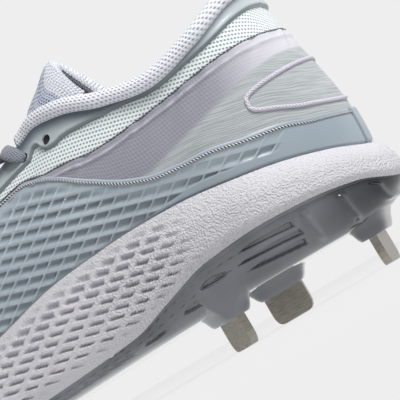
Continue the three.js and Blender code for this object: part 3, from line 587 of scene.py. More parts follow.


# %% [markdown]
# ### Moulded film
#
# The film is smooth with a weak coat. The rand's cells get painted shade in their hollows and a painted
# highlight on their ridges, with the same angles as the relief that is pressed into its mesh further
# down. Where an attribute says so, painted shade darkens a film.

# %% Painted shade and highlight on the rand's cells
CELL_FALL, CELL_RISE = math.radians(17), math.radians(34)
ROW_PITCH, COLUMN_PITCH = 3.7, 3.9


def cell_shade_and_highlight(f, tone):
    """Painted highlight on the ridges and painted shade in the hollows, darker towards the ridge above, where
    the attribute says so.
    """
    split = f.node("ShaderNodeSeparateXYZ", {}, f.place())
    x, z = split, Value(f, split.socket.node.outputs[2])
    d = LENGTH / 2 - x
    a = ((z * math.cos(CELL_FALL) - d * math.sin(CELL_FALL)) / ROW_PITCH).fract()
    b = (((z * math.cos(CELL_RISE) + d * math.sin(CELL_RISE)) / COLUMN_PITCH).fract() - 0.5).size() * 2.0
    beside = 1.0 - b
    hollow = a.step(0.15, 0.8) * (1.0 - a.step(0.86, 0.96)) * beside.step(0.1, 0.24)
    ridge = (1.0 - a.least(1.0 - a).step(0.03, 0.11)).most(1.0 - beside.step(0.05, 0.16))
    cells = f.layer("cells")
    # Painted shade in the hollows, darkest under the ridge above
    dark = f.blend(hollow * cells * 0.6, tone, (0.1, 0.13, 0.16))
    # Painted highlight along the ridges
    return f.blend(ridge * cells * 0.4, dark, (0.6, 0.66, 0.7))


# %% Moulded film
def film_finish(name, light, dark, roughness, hollow=(0.1, 0.13, 0.16), cells=None):
    """A thin film pressed on the cloth: smooth, slightly waxy, and darkened by painted shade where an
    attribute says so.
    """
    f = Finish(name, Coat_Weight=0.15, Coat_Roughness=0.25)
    drift = f.noise(f.place(), 0.03, 2.0)
    grain = f.noise(f.place(), 1.6, 2.0)
    depth_and_shade = f.layer("depth_and_shade")
    # The hollow colour is painted shade, laid on where the attribute says so
    tone = f.blend(depth_and_shade * 0.75, f.blend(drift.step(0.3, 0.7), dark, light), hollow)
    f.colour(cells(f, tone) if cells else tone)
    f.rough(roughness + grain * 0.12)
    f.bump(grain, 0.03, 0.5)
    return f.material


RAND_FILM = film_finish("rand film", (0.4, 0.46, 0.51), (0.34, 0.4, 0.45), 0.33, cells=cell_shade_and_highlight)
# The last colour is the eyestay's painted shade, darker than the rand's
STAY_FILM = film_finish("stay film", (0.48, 0.53, 0.55), (0.42, 0.47, 0.49), 0.28, (0.05, 0.07, 0.1))


# %% [markdown]
# ### Foam
#
# Smooth Voronoi cells and a noise make the grain of the foam's skin. A number on the mesh makes it
# stronger at the heel, and another one paints shade into the dimples.

# %% Foam skin
def foam_finish():
    """Moulded foam with a leather-like grain, stronger where an attribute says so."""
    f = Finish("foam", Roughness=0.55, Specular_IOR_Level=0.4)
    grain = f.layer("grain")
    vector = f.place()
    wrinkle = f.node(
        "ShaderNodeTexVoronoi", {"feature": "SMOOTH_F1"}, Vector=vector, Scale=1.5, Smoothness=0.6
    )
    soft = f.noise(vector, 1.5, 3.0, 0.6)
    drift = f.noise(vector, 0.04, 1.0)
    height = wrinkle * 0.9 + soft * 0.9
    depth_and_shade = f.layer("depth_and_shade")
    skin_tone = f.blend(drift, (0.59, 0.58, 0.62), (0.65, 0.64, 0.675))
    # Painted shade in the dimples
    f.colour(f.blend(depth_and_shade * 0.6, skin_tone, (0.3, 0.28, 0.36)))
    f.bump(height * (grain + 0.1), 0.5, 1.0)
    return f.material


FOAM = foam_finish()


# %% [markdown]
# ### Plate, steel and thread
#
# The plate is dark and glossy. At the heel painted shade makes it darkest, and its coat is weaker there.
# The blades are metal with a noise stretched into brush marks, and the lace and the piping show two
# families of slanted ribs.

# %% Plate, steel, lace and small trim
def plate_finish():
    f = Finish("clear plate", Roughness=0.08, Coat_Weight=1.0, Coat_Roughness=0.03, IOR=1.5)
    drift = f.noise(f.place(), 0.035, 2.0)
    heel = f.layer("heel")
    tone = f.blend(drift.step(0.35, 0.7), (0.07, 0.078, 0.095), (0.16, 0.17, 0.195))
    # Painted shade darkens the plate towards the heel
    f.colour(f.blend(heel, tone, (0.018, 0.02, 0.026)))
    f.plug(1.0 - heel * 0.9, f.shader.inputs["Coat Weight"])
    f.bump(drift, 0.6, 0.25)
    return f.material


def steel_finish():
    f = Finish("brushed steel", Metallic=1.0)
    streak = f.node("ShaderNodeMapping", {}, f.place(), (0.0, 0.0, 0.0), (0.0, 0.0, 0.0), (0.3, 0.3, 3.0))
    brush = f.noise(streak, 1.2, 3.0, 0.6)
    f.colour(f.blend(brush.step(0.25, 0.75), (0.27, 0.25, 0.21), (0.44, 0.42, 0.38)))
    f.rough(0.22 + brush * 0.2)
    f.bump(brush, 0.03, 0.4)
    return f.material


def braid_finish(name, light, dark, pitch):
    f = Finish(name, Roughness=0.75, Sheen_Weight=0.3)
    _, s, t = f.uv()
    rib = (s * 0.8 + t).wave(pitch) * 0.5 + (s * 0.8 - t).wave(pitch) * 0.5
    fuzz = f.noise(f.place(), 2.0, 2.0)
    f.colour(f.blend(rib * 0.4 + 0.4 + (fuzz - 0.5) * 0.3, dark, light))
    f.bump(rib + fuzz * 0.4, 0.25, 0.8)
    return f.material


def plain_finish(name, colour, roughness):
    f = Finish(name, Roughness=roughness, Sheen_Weight=0.2)
    fuzz = f.noise(f.place(), 3.0, 2.0)
    f.colour(f.blend(fuzz, tuple(c * 0.8 for c in colour), colour))
    f.bump(fuzz, 0.1, 0.6)
    return f.material


CLEAR_PLATE = plate_finish()
BRUSHED_STEEL = steel_finish()
LACE_BRAID = braid_finish("lace braid", (0.36, 0.38, 0.44), (0.16, 0.18, 0.23), 1.0)
PIPING_THREAD = braid_finish("piping thread", (0.82, 0.79, 0.88), (0.6, 0.57, 0.68), 0.9)
# Near black: the painted shade in the eyelet holes
EYELET_SHADE = plain_finish("painted eyelet shade", (0.008, 0.008, 0.012), 0.9)
SOCK_LINER = plain_finish("sock liner", (0.4, 0.42, 0.48), 0.9)

# %% [markdown]
# ## The foam midsole
#
# The midsole is one moulding: it fills the plate, swells out above it and ends in a thin lip round the
# upper. Its side carries slanted rows of dimples that fade into a leather-like grain at the heel. The
# dimples are pressed into the mesh, because they are deep enough to show in the outline's shading.

# %% Shape of the side
PLATE_SIDE = table(
    "at inset", (0.0, 18), (0.03, 10), (0.28, 5.2), (0.62, 2.6), (1.0, 1.6)
)
FOAM_SIDE = table(
    "at inset", (0.0, 1.3), (0.22, 0.0), (0.5, 0.4), (0.78, 2.0), (1.0, RIM_INSET)
)


def plate_side(u, rise, inside=False, extra=0.0):
    wall_depth = (PLATE_WALL + extra) * np.minimum(rise / 0.28, 1) if inside else 0.0
    floor = (PLATE_FLOOR + extra) * (1 - rise) if inside else 0.0
    return inset(
        u,
        read(PLATE_SIDE, rise, "inset") + wall_depth,
        lambda own, beside: floor + level(own, "under") * (1 - rise) + level(beside, "edge") * rise,
    )


def foam_side(u, rise):
    return inset(
        u,
        read(FOAM_SIDE, rise, "inset"),
        lambda own, beside: level(beside, "edge") * (1 - rise) + level(beside, "bite") * rise,
    )


def cup_side(u, drop):
    depth = RIM_INSET + RIM_WALL + (CUP_INSET - RIM_INSET - RIM_WALL) * drop
    return inset(
        u, depth, lambda own, beside: level(beside, "bite") * (1 - drop) + level(own, "footbed") * drop
    )


def around(count):
    """Places once round the shoe, from the toe along the outer side to the heel and back."""
    return np.linspace(0.5, -0.5, count)


# %% [markdown]
# ### Dimples and grain
#
# The dimples stand in slanted rows. Each place on the side is turned into a row and a column number,
# and what is left over says where in its cell the place lies. So one formula presses them all.

# %% Dimples in slanted rows
DIMPLE_ALONG, DIMPLE_UP, DIMPLE_DEPTH = 6.9, 3.0, 0.95
DIMPLE_TILT, DIMPLE_LEAN = math.radians(15), math.radians(43)


def smooth(x, low, high):
    t = np.clip((x - low) / (high - low), 0, 1)
    return t * t * (3 - 2 * t)


def dimples(points, height_share):
    """1 in a dimple and 0 outside. The rows fall towards the heel and each row is set back a little."""
    x, z = points[..., 0], points[..., 2]
    row = (z + x * math.tan(DIMPLE_TILT)) / DIMPLE_UP
    column = (x - np.floor(row) * DIMPLE_UP / math.tan(DIMPLE_LEAN)) / DIMPLE_ALONG
    cz = (row % 1 - 0.5) * 2
    cx = (column % 1 - 0.5) * 2 - cz * 0.22
    opening = 0.16 + 0.32 * smooth(height_share, 0.08, 0.45) + 0.3 * smooth(height_share, 0.6, 0.85)
    dimple = (1 - smooth(np.abs(cx), 0.56, 0.74)) * (1 - smooth(np.abs(cz), opening * 0.6, opening))
    behind_heel = smooth(LENGTH / 2 - x, 54, 78)
    fade = smooth(height_share, 0.05, 0.2) * (1 - smooth(height_share, 0.8, 0.97))
    return dimple * behind_heel * fade


def grain_strength(points, height_share):
    x = points[..., 0]
    heel = 1 - smooth(LENGTH / 2 - x, 70, 115)
    low = 1 - smooth(height_share, 0.45, 0.95) * 0.65
    return np.clip(0.2 + 0.8 * heel * low, 0, 1)


COLUMNS_ROUND = 881
u = around(COLUMNS_ROUND)
rises = np.linspace(0, 1, 84)
side = foam_side(u[:, None], rises[None, :])
tall = np.broadcast_to(rises[None, :], side.shape[:2])
normals = grid_normals(side)
pressed = dimples(side, tall)
side = side - normals * DIMPLE_DEPTH * pressed[..., None]
seat = np.stack([plate_side(u, np.full_like(u, r), True, GAP) for r in (0.0, 0.03, 0.28, 0.62, 1.0)], 1)
cup = np.stack([cup_side(u, np.full_like(u, d)) for d in (0.0, 0.04, 0.5, 1.0)], 1)
foam_points = np.concatenate([seat, side, cup], 1)
grain = np.concatenate(
    [np.zeros(seat.shape[:2]), grain_strength(side, tall), np.full(cup.shape[:2], 0.3)], 1
)
# How deep each dimple is pressed, which the finish also turns into painted shade
depth_and_shade = np.pad(pressed, ((0, 0), (seat.shape[1], cup.shape[1])))


midsole = skin("midsole_foam", foam_points, closed=True, layers={"grain": grain, "depth_and_shade": depth_and_shade})
dress(midsole, FOAM, "foam", "midsole")

# %% [markdown]
# ## The clear plate
#
# The plate is one glossy moulding that wraps up round the heel. Slots and upright webs stand at the
# heel, leaf-shaped hollows along the waist, and small hooks in front. They are formulas of two numbers,
# how far along and how far up the side a place lies, and they move the mesh along its normals.

# %% Underside and relief of the plate
def spine(along):
    """The middle of the sole across, at a distance from the heel."""
    u_there = place_at(along / LENGTH)
    return (edge(u_there)[..., 1] + edge(-u_there)[..., 1]) / 2


def towards_spine(ring, shares_in, floor_height):
    """Rows from a ring in to the sole's middle line, which both sides meet at the same points."""
    along = LENGTH / 2 - ring[:, 0]
    along = (along + along[::-1]) / 2
    target = place(along, spine(along), floor_height(along / LENGTH))
    return np.stack([ring * (1 - k) + target * k for k in shares_in], 1)


def leaf(x, y, length, height, lean=0.0):
    """A pointed oval hollow: 1 inside and 0 outside."""
    x = x - y * lean
    reach = np.abs(x) / length
    half = height * np.clip(1 - reach**2, 0, 1)
    return smooth(half - np.abs(y), -0.15, 0.55) * smooth(1 - reach, 0.0, 0.15)


# Slots: first and last place along, and how far up. Leaves: place along, how far up, and size.
SLOTS = ((31, 49, 0.72), (30, 52, 0.5), (31, 50, 0.3))
LEAVES = ((62, 0.62, 0.85), (71, 0.42, 0.85), (88, 0.42, 0.8))
HOOKS_START, HOOKS_END, HOOK_PITCH = 98.0, 262.0, 5.8
WEBS = (27.0, 16.0, 7.0)


def plate_relief(along, rise):
    """Slots by the heel, leaves along the waist, hooks in front, webs, and a lip along the top."""
    slots = np.zeros_like(along)
    for first, last, middle in SLOTS:
        x = (along - first) / (last - first)
        half = 0.07 * np.clip(1 - x, 0, 1) ** 0.5
        slot = smooth(half - np.abs(rise - middle - 0.07 * x), -0.008, 0.02) * smooth(x, 0, 0.04)
        slots = np.maximum(slots, slot)
    leaves = np.zeros_like(along)
    for middle_along, middle_rise, size in LEAVES:
        hollow = leaf(along - middle_along, (rise - middle_rise) * 16, 6 * size, 1.9 * size, 1.2)
        leaves = np.maximum(leaves, hollow)
    rings = np.zeros_like(along)
    up = (rise - 0.45) * 15
    for shift in (-1, 0, 1):
        x = ((along - HOOKS_START) % HOOK_PITCH) + shift * HOOK_PITCH - HOOK_PITCH / 2
        p, q = x * 0.93 + up * 0.37, up * 0.93 - x * 0.37
        rings = np.maximum(rings, leaf(p, q, 5.2, 0.95) - 0.55 * leaf(p + 0.5, q - 0.1, 4.0, 0.45))
    rings = rings * smooth(along, 95, 99) * (1 - smooth(along, 255, HOOKS_END))
    web = sum(np.exp(-(((along - middle) / 1.2) ** 2)) for middle in WEBS)
    web = web * smooth(rise, 0.1, 0.3) * (1 - smooth(rise, 0.75, 0.92))
    lip = smooth(rise, 0.945, 0.965)
    dish = smooth(rise, 0.3, 0.6) * (1 - smooth(rise, 0.8, 0.93))
    dish = dish * smooth(along, 24, 34) * (1 - smooth(along, 60, 95))
    return -1.3 * slots - 1.1 * leaves - 0.7 * rings + 1.2 * web + 0.5 * lip - 0.5 * dish


rises = np.linspace(0, 1, 68)
shell = plate_side(u[:, None], rises[None, :])
along = LENGTH / 2 - shell[..., 0]
tall = np.broadcast_to(rises[None, :], along.shape)
shell = shell + grid_normals(shell) * plate_relief(along, tall)[..., None]
under = lambda at: level(at, "under")
keel = towards_spine(shell[:, 0], (1.0, 0.75, 0.5, 0.25, 0.08), under)
inner_rises = np.linspace(1, 0, 7)
inside = plate_side(u[:, None], np.broadcast_to(inner_rises[None, :], (len(u), 7)), inside=True)
bed = towards_spine(inside[:, -1], (0.3, 0.6, 1.0), lambda at: level(at, "under") + PLATE_FLOOR)
raised = np.array([0, 0, 0.5])
rim = np.stack([shell[:, -1] + raised, inside[:, 0] + raised], 1)
plate_points = np.concatenate([keel, shell, rim, inside, bed], 1)
to_heel = LENGTH / 2 - plate_points[..., 0]
# The heel layer marks the painted shade and the weaker coat at the heel
plate = skin("plate", plate_points, closed=True, layers={"heel": 1 - smooth(to_heel, 4, 34)})
dress(plate, CLEAR_PLATE, "plate", "outsole_plate")

# %% [markdown]
# ### Bosses
#
# Every blade is held by a boss, a rounded block that narrows towards the blade. Its sections are
# superellipses, which have round corners, and they are kept inside the edge of the sole.

# %% Bosses
# Each blade: its place along and across, in shares of length and ball width, and its turn.
BLADES = {
    "heel_outer": (0.222, -0.245, 134), "heel_inner": (0.207, 0.215, 6), "heel_rear": (0.06, -0.02, 90),
    "ball_outer": (0.6, -0.34, 118), "ball_inner": (0.625, 0.27, 62), "side_outer": (0.715, -0.385, 20),
    "side_inner": (0.755, 0.375, 160), "toe_outer": (0.855, -0.2, 60), "toe_inner": (0.885, 0.26, 120),
}
BOSS_LENGTH, BOSS_WIDTH, BOSS_RISE, BLADE_HEIGHT = 25.0, 15.0, 8.0, 10.0
BOSS_MARGIN, BOSS_MARGIN_FALL = 6.5, 3.0
BOSS_SIDE = table(
    "at size up", (0, 0.0, 0.0), (0.12, 0.6, 0.0), (0.24, 0.7, 0.06), (0.45, 0.84, 0.28),
    (0.65, 1.02, 0.48), (0.85, 1.2, 0.74), (1.0, 1.3, 1.0),
)


def power(value, exponent):
    return np.sign(value) * np.abs(value) ** exponent


def boss(name, along_share, across, turn):
    """A rounded block whose sections are superellipses, from its closed foot up into the plate."""
    tip = max(level(along_share, "under") - SOLE["under"].min() * GROUND_CLEARANCE, 0) * (along_share > 0.8)
    bottom = tip + BLADE_HEIGHT
    top = min(level(along_share, "under") + BOSS_RISE, level(along_share, "edge") - 2 * GAP)
    k = np.linspace(0, 1, 40)
    angle = np.linspace(0, 2 * np.pi, 73)
    size = read(BOSS_SIDE, k, "size")[None, :] * 0.5
    x = power(np.cos(angle), 0.6)[:, None] * BOSS_LENGTH * size
    y = power(np.sin(angle), 0.6)[:, None] * BOSS_WIDTH * size
    z = bottom + read(BOSS_SIDE, k, "up")[None, :] * (top - bottom) + 0 * x
    c, s = math.cos(math.radians(turn)), math.sin(math.radians(turn))
    centre = place(along_share * LENGTH, across * BALL_WIDTH, 0)
    points = np.stack([x * c - y * s + centre[0], x * s + y * c + centre[1], z], -1)
    beside = place_at(np.clip((LENGTH / 2 - points[..., 0]) / LENGTH, 0.02, 0.98))
    margin = BOSS_MARGIN - BOSS_MARGIN_FALL * read(BOSS_SIDE, k, "up")[None, :]
    low, high = edge(beside)[..., 1] + MIDDLE + margin, edge(-beside)[..., 1] + MIDDLE - margin
    points[..., 1] = np.clip(points[..., 1], low, high)
    return skin("boss_" + name, points, closed=True)


for name, (along_share, across, turn) in BLADES.items():
    dress(boss(name, along_share, across, turn), CLEAR_PLATE, "plate")

# %% [markdown]
# ## The upper
#
# The upper is a sock of open mesh. Over it lies the quarter's cloth, which puckers along its stitched
# edge, and films are pressed on top: the rand along the foam and the eyestay round the eyelets.

# %% Mesh upper
def wall_grid(columns, rows, low, high, lift=0.0):
    """Points between two lines on the wall. low and high are shares of the wall, one for each column."""
    t = np.linspace(0, 1, rows)[None, :]
    v = low[:, None] * (1 - t) + high[:, None] * t
    return wall(columns[:, None], v, lift)


EYELETS, TOP_EYELET_AT, SPARE_EYELET_GAP, EYELET_PITCH = 6, 90.0, 11.0, 16.0
EYELET_DEPTH, EYELET_RADIUS, DRILL_LENGTH = 9.2, 1.8, 7.0


def eyelet_place(side, number):
    along = TOP_EYELET_AT + (0.0 if number == 0 else SPARE_EYELET_GAP + (number - 1) * EYELET_PITCH)
    options = np.linspace(0.05, 0.35, 2001)
    there = np.interp(along, LENGTH / 2 - top_line(options)[:, 0], options)
    at = there if side < 0 else 1 - there
    return at, 1 - EYELET_DEPTH / float(wall_length(at))


def eyelet_bars(radius, depth, lift=0.0):
    """Round bars at all the eyelets, square to the wall and joined in one piece."""
    deselect()
    bars = []
    for side in (-1, 1):
        for number in range(EYELETS):
            at, v = eyelet_place(side, number)
            centre, out = wall(at, v, lift), wall(at, v, 1.0) - wall(at, v)
            bpy.ops.mesh.primitive_cylinder_add(
                vertices=24, radius=radius * MM, depth=depth * MM, location=Vector(centre) * MM,
                rotation=Vector(out).to_track_quat("Z", "Y").to_euler(),
            )
            bars.append(bpy.context.object)
    for bar in bars:
        bar.select_set(True)
    bpy.ops.object.join()
    bpy.ops.object.transform_apply(location=True, rotation=True, scale=True)
    return bpy.context.object


def drill(piece):
    """Cut all the eyelets' holes at once."""
    cutter = eyelet_bars(EYELET_RADIUS, DRILL_LENGTH)
    hole = piece.modifiers.new("hole", "BOOLEAN")
    hole.object = cutter
    hole.solver = "MANIFOLD"
    apply_modifiers(piece)
    bpy.data.objects.remove(cutter)


MESH_COLUMNS, MESH_ROWS = 301, 34
ring = around(MESH_COLUMNS)
body = wall_grid(ring, MESH_ROWS, np.zeros_like(ring), np.ones_like(ring))
cup = np.stack([cup_side(ring, np.full_like(ring, d)) for d in (1.0, 0.5)], 1)
upper = skin("mesh_upper", np.concatenate([cup, body], 1), thickness=UPPER_WALL, closed=True)
dress(upper, OPEN_MESH, "textile", "upper")


# %% [markdown]
# ### The quarter's cloth
#
# Sewn cloth gathers near its edge. The puckers are waves of three pitches that die
# out below the edge, and one fold runs along it. They are in the mesh, so that light catches them.
# A painted highlight lightens the cloth along the fold as well.

# %% Quarter cloth with puckers
QUARTER_TOP = table(
    "along up", (0, 77), (3, 77), (6, 80.7), (11, 82.5), (20, 83), (32, 82), (47, 80), (57, 79),
    (74, 78), (89, 80), (104, 80.6), (125, 79), (150, 74), (180, 66), (220, 55), (300, 45),
)
QUARTER_TOP["at"] = QUARTER_TOP["along"]


def rand_share(columns):
    return read(OVERLAYS, share(columns), "rand")


def stay_share(columns):
    return read(OVERLAYS, share(columns), "stay")


def quarter_share(columns):
    height = read(QUARTER_TOP, LENGTH / 2 - wall(columns, np.full_like(columns, 0.8))[:, 0], "up")
    v = wall_share_at_height(columns, height)
    return np.clip(np.maximum(v, rand_share(columns) + 0.02), 0, stay_share(columns) - 0.01)


def cloth_relief(s, t, top):
    """Soft puckers that run down from the stitched edge, and one fold along it."""
    below = top - t
    random = np.random.default_rng(4)
    pucker = np.zeros_like(s)
    for pitch in (5.1, 7.3, 11.0):
        shift = random.uniform(0, 6)
        pucker += np.sin(2 * np.pi * (s + 0.35 * below) / pitch + shift) * pitch / 14
    fade = np.exp(-below / 4.0) * smooth(below, -0.5, 1.2)
    fold = np.exp(-(((below - 2.9) / 0.8) ** 2)) * 0.28
    edge_drop = -0.35 * (1 - smooth(below, 0.1, 1.0))
    return 0.4 * pucker * fade + fold * 1.7 + edge_drop


CLOTH_LIFT = 0.75
HEEL_FIELD_ALONG, HEEL_FIELD_TOP = (0, 13, 24, 40, 62), (75.0, 74.5, 72.5, 68.0, 62.5)
around_heel = np.linspace(0.36, -0.36, 700)
low = rand_share(around_heel) - 0.08
high = quarter_share(around_heel)
points = wall_grid(around_heel, 98, low, high, CLOTH_LIFT)
length = arc(points, 1)
points = points + grid_normals(points) * cloth_relief(arc(points, 0), length, length[:, -1:])[..., None]
reach = LENGTH / 2 - points[..., 0]
height = points[..., 2]
upper_side = np.interp(reach, HEEL_FIELD_ALONG, HEEL_FIELD_TOP)
lower_tip = 104.0 - 1.9 * (height - 52)
heel_zone = 1 - smooth(height, upper_side - 1.5, upper_side + 1.0)
heel_zone = heel_zone * (1 - smooth(reach, lower_tip - 6, lower_tip)) * (1 - smooth(reach, 66, 74))
back_zone = (1 - smooth(reach, 8, 38)) * (1 - heel_zone)
gap = length[:, -1:] - length
wobble = 0.5 + 0.5 * np.sin(arc(points, 0) * 1.1 + 2 * np.sin(arc(points, 0) * 0.31))
# Painted highlight along the fold, uneven along its length
fold = np.exp(-(((gap - 2.7) / 0.45) ** 2)) * (0.35 + 0.65 * wobble) * (1 - smooth(reach, 120, 150))
zones = {"heel": heel_zone, "back": back_zone, "fold": fold}
quarter = skin("quarter_cloth", points, skirt=0.5, layers=zones)
dress(quarter, QUARTER_CLOTH, "textile")


# %% [markdown]
# ### The rand
#
# The rand is a film pressed with a net of ridges. Two families of slanted lines cross, and the hollow
# between them is deepest under its upper edge. The relief is in the mesh, and the finish paints the
# same net as shade in the hollows and highlight on the ridges, so that the two have to use the same
# angles and pitches. Painted shade also darkens the film towards the heel.

# %% Rand film with pressed cells
RAND_END, TOE_CAP_START = 0.84, 0.85


def cell_relief(d, z, top_gap, low_gap):
    """Two families of ridges. Between them each hollow is deepest under its upper edge."""
    a = ((z * math.cos(CELL_FALL) - d * math.sin(CELL_FALL)) / ROW_PITCH) % 1
    b = np.abs(((z * math.cos(CELL_RISE) + d * math.sin(CELL_RISE)) / COLUMN_PITCH) % 1 - 0.5) * 2
    hollow = smooth(a, 0.0, 0.55) * (1 - smooth(a, 0.8, 0.99)) * smooth(1 - b, 0.05, 0.3)
    start = smooth(d - (10 + top_gap * 1.1), 6, 9) * smooth(low_gap - 3.0 * (1 - smooth(d, 45, 75)), 0.2, 1.2)
    strength = start * (0.25 + 0.75 * smooth(top_gap, 4.0, 7.5)) * smooth(top_gap, 1.6, 3.0)
    return hollow * strength, strength


BACK_SEAM_AT, BACK_SEAM_WIDTH = 5.2, 0.45


def film(name, columns, low, high, rows, relief):
    """A pressed film with a seam and a raised strip at the back of the heel, and painted shade towards the
    heel and in the seam's groove.
    """
    points = wall_grid(columns, rows, low, high, 0.25)
    length = arc(points, 1)
    below = length[:, -1:] - length
    depth_and_shade, cells = relief(np.abs(LENGTH / 2 - points[..., 0]), points[..., 2], below, length)
    back = np.abs(columns[:, None]) * LENGTH * 1.6 + 0 * length
    seam_line = 0.75 * np.exp(-(((back - BACK_SEAM_AT) / BACK_SEAM_WIDTH) ** 2))
    depth_and_shade = np.maximum(depth_and_shade, seam_line)
    strip = 0.5 * (1 - smooth(back, 4.6, 5.1))
    lift = 1.0 * smooth(length, 0, 1.4) - 0.4 * (1 - smooth(below, 0, 0.6)) - 0.85 * depth_and_shade + strip
    points = points + grid_normals(points) * lift[..., None]
    # Painted shade: darker towards the heel and in the seam's groove
    shade = np.maximum(seam_line, 0.28 * (1 - smooth(back, 15, 75)))
    return skin(name, points, skirt=0.6, layers={"depth_and_shade": shade, "cells": cells + 0 * depth_and_shade})


span = np.linspace(place_at(RAND_END), -place_at(RAND_END), 960)
clear = 0.1 / wall_length(span)
rand = film("rand_film", span, clear, rand_share(span), 92, cell_relief)
dress(rand, RAND_FILM, "film", "rand")

toe = np.linspace(place_at(TOE_CAP_START), 1 - place_at(TOE_CAP_START), 190)[::-1]
plain = lambda d, z, above, below: (np.zeros_like(d), np.zeros_like(d))
toe_cap = film("toe_film", toe, 0.1 / wall_length(toe), rand_share(toe), 60, plain)
dress(toe_cap, RAND_FILM, "film", "toe_cap")


# %% [markdown]
# ### The eyestay
#
# The eyestay is a thicker film round the eyelets. Its border is rounded off and carries painted shade,
# a painted shadow darkens it under the collar, and a notch runs up between the two top eyelets. The
# eyelets are cut through the film alone. A dark disc under each one, between film and mesh, is painted
# shade that stands in for the depth of the hole.

# %% Eyestay film with a rounded border
EYESTAY_END = 0.72
STAY_END_AT, STAY_END_RADIUS = 186.0, 12.5
STAY_LIFT, STAY_THICKNESS = 1.0, 0.7
SHADE_DISC_MARGIN, SHADE_DISC_THICKNESS, SHADE_DISC_LIFT = 0.5, 0.12, 0.18
span = np.linspace(place_at(EYESTAY_END), -place_at(EYESTAY_END), 480)


def round_end(columns):
    """The lowest share of the wall that lies inside a round end in front of the throat."""
    steps = np.linspace(0.6, 0.985, 120)
    there = wall(columns[:, None], steps[None, :])
    ahead = np.maximum(LENGTH / 2 - there[..., 0] - STAY_END_AT, 0)
    beside = there[..., 1] - top_line(columns)[:, None, 1]
    inside = (np.hypot(ahead, beside) <= STAY_END_RADIUS) | (share(columns)[:, None] < 0.6)
    return np.where(inside.any(1), steps[inside.argmax(1)], 0.985)


lobe = LENGTH / 2 - top_line(span)[:, 0]
notch = 3.4 * np.exp(-(((lobe - 95.6) / 2.6) ** 4)) - 1.0 * np.exp(-(((lobe - 89.0) / 3.5) ** 4))
low = np.maximum(stay_share(span) + notch / wall_length(span), round_end(span))
points = wall_grid(span, 44, low, np.full_like(span, 0.995), STAY_LIFT)
length = arc(points, 1)
shape = 0.15 * np.exp(-(((length - 1.5) / 0.6) ** 2)) - 0.8 * (1 - smooth(length, 0.1, 1.0))
points = points + grid_normals(points) * shape[..., None]
to_collar = length[:, -1:] - length
front = smooth(share(span), 0.08, 0.2)[:, None]
# Painted shadow under the collar roll, strongest in front, and painted shade along the rounded border
shade = 1.1 * (1 - smooth(to_collar, 1.2, 6.0)) * front
shade = shade + 0.3 * (1 - smooth(to_collar, 1.0, 3.0)) * (1 - front)
shade = np.maximum(shade, 0.8 * (1 - smooth(length, 0.7, 1.2)))
eyestay = skin("eyestay_film", points, thickness=STAY_THICKNESS, layers={"depth_and_shade": shade})
drill(eyestay)
dress(eyestay, STAY_FILM, "film", "eyestay")
# Dark discs behind the eyelets are painted shade for the depth of the holes
ground = eyelet_bars(EYELET_RADIUS + SHADE_DISC_MARGIN, SHADE_DISC_THICKNESS, SHADE_DISC_LIFT)
ground.name = ground.data.name = "eyelet_shade_discs"
dress(ground, EYELET_SHADE, "textile")

# %% [markdown]
# ## Collar, tongue and lining
#
# The collar is a padded roll of knit. Its cross-section is drawn once and carried round the opening,
# thinner towards the throat.

# %% Collar roll
COLLAR_END = 0.345
ROLL_HEIGHT, PAD_THICKNESS, THROAT_PAD = 4.6, 6.0, 0.4
ROLL = table(
    "at out up", (0.0, 0.16, -0.3), (0.1, 0.3, -0.12), (0.25, 0.36, 0.35), (0.42, 0.17, 0.86),
    (0.6, -0.3, 1.0), (0.8, -0.72, 0.82), (1.0, -1.0, 0.25),
)
PAD = table("at v thick", (0.0, 0.96, 1.0), (0.4, 0.86, 0.9), (1.0, 0.62, 0.3))


def collar_points(columns, roll_rows=26, pad_rows=16):
    back, ones = UPPER_WALL + 2 * GAP, np.ones_like(columns)
    pad = PAD_THICKNESS * (1 + (THROAT_PAD - 1) * np.maximum(share(columns) / COLLAR_END - 0.5, 0) * 2)
    top = wall(columns, ones)
    normal = wall(columns, ones, 1.0) - top
    rise = top - wall(columns, ones * 0.97)
    rise /= np.linalg.norm(rise, axis=-1, keepdims=True)
    rows = []
    for k in np.linspace(0, 1, roll_rows):
        out = read(ROLL, k, "out") * (back + pad)
        up = 2 * GAP + read(ROLL, k, "up") * ROLL_HEIGHT
        rows.append(top + normal * out[:, None] + rise * up)
    for k in np.linspace(0, 1, pad_rows)[1:]:
        rows.append(wall(columns, ones * read(PAD, k, "v"), -(back + pad * read(PAD, k, "thick"))))
    for k in np.linspace(1, 0, 6):
        rows.append(wall(columns, ones * read(PAD, k, "v"), -back))
    rows.append(top - normal * back + rise * 2 * GAP)
    rows.append(top + rise * 2 * GAP)
    rows.append(rows[0])
    return np.stack(rows, 1)


span = np.linspace(place_at(COLLAR_END), -place_at(COLLAR_END), 420)
collar = skin("collar_knit", collar_points(span))
join_seam(collar, fill=True)
dress(collar, COLLAR_KNIT, "lining", "collar_roll")


# %% [markdown]
# ### Cords, stitches and laces
#
# A cord is a ring of points carried along a line. Its flat side follows the surface's normal, which a
# curve's bevel doesn't do by itself, so the tube is laid as a grid like the other coverings.

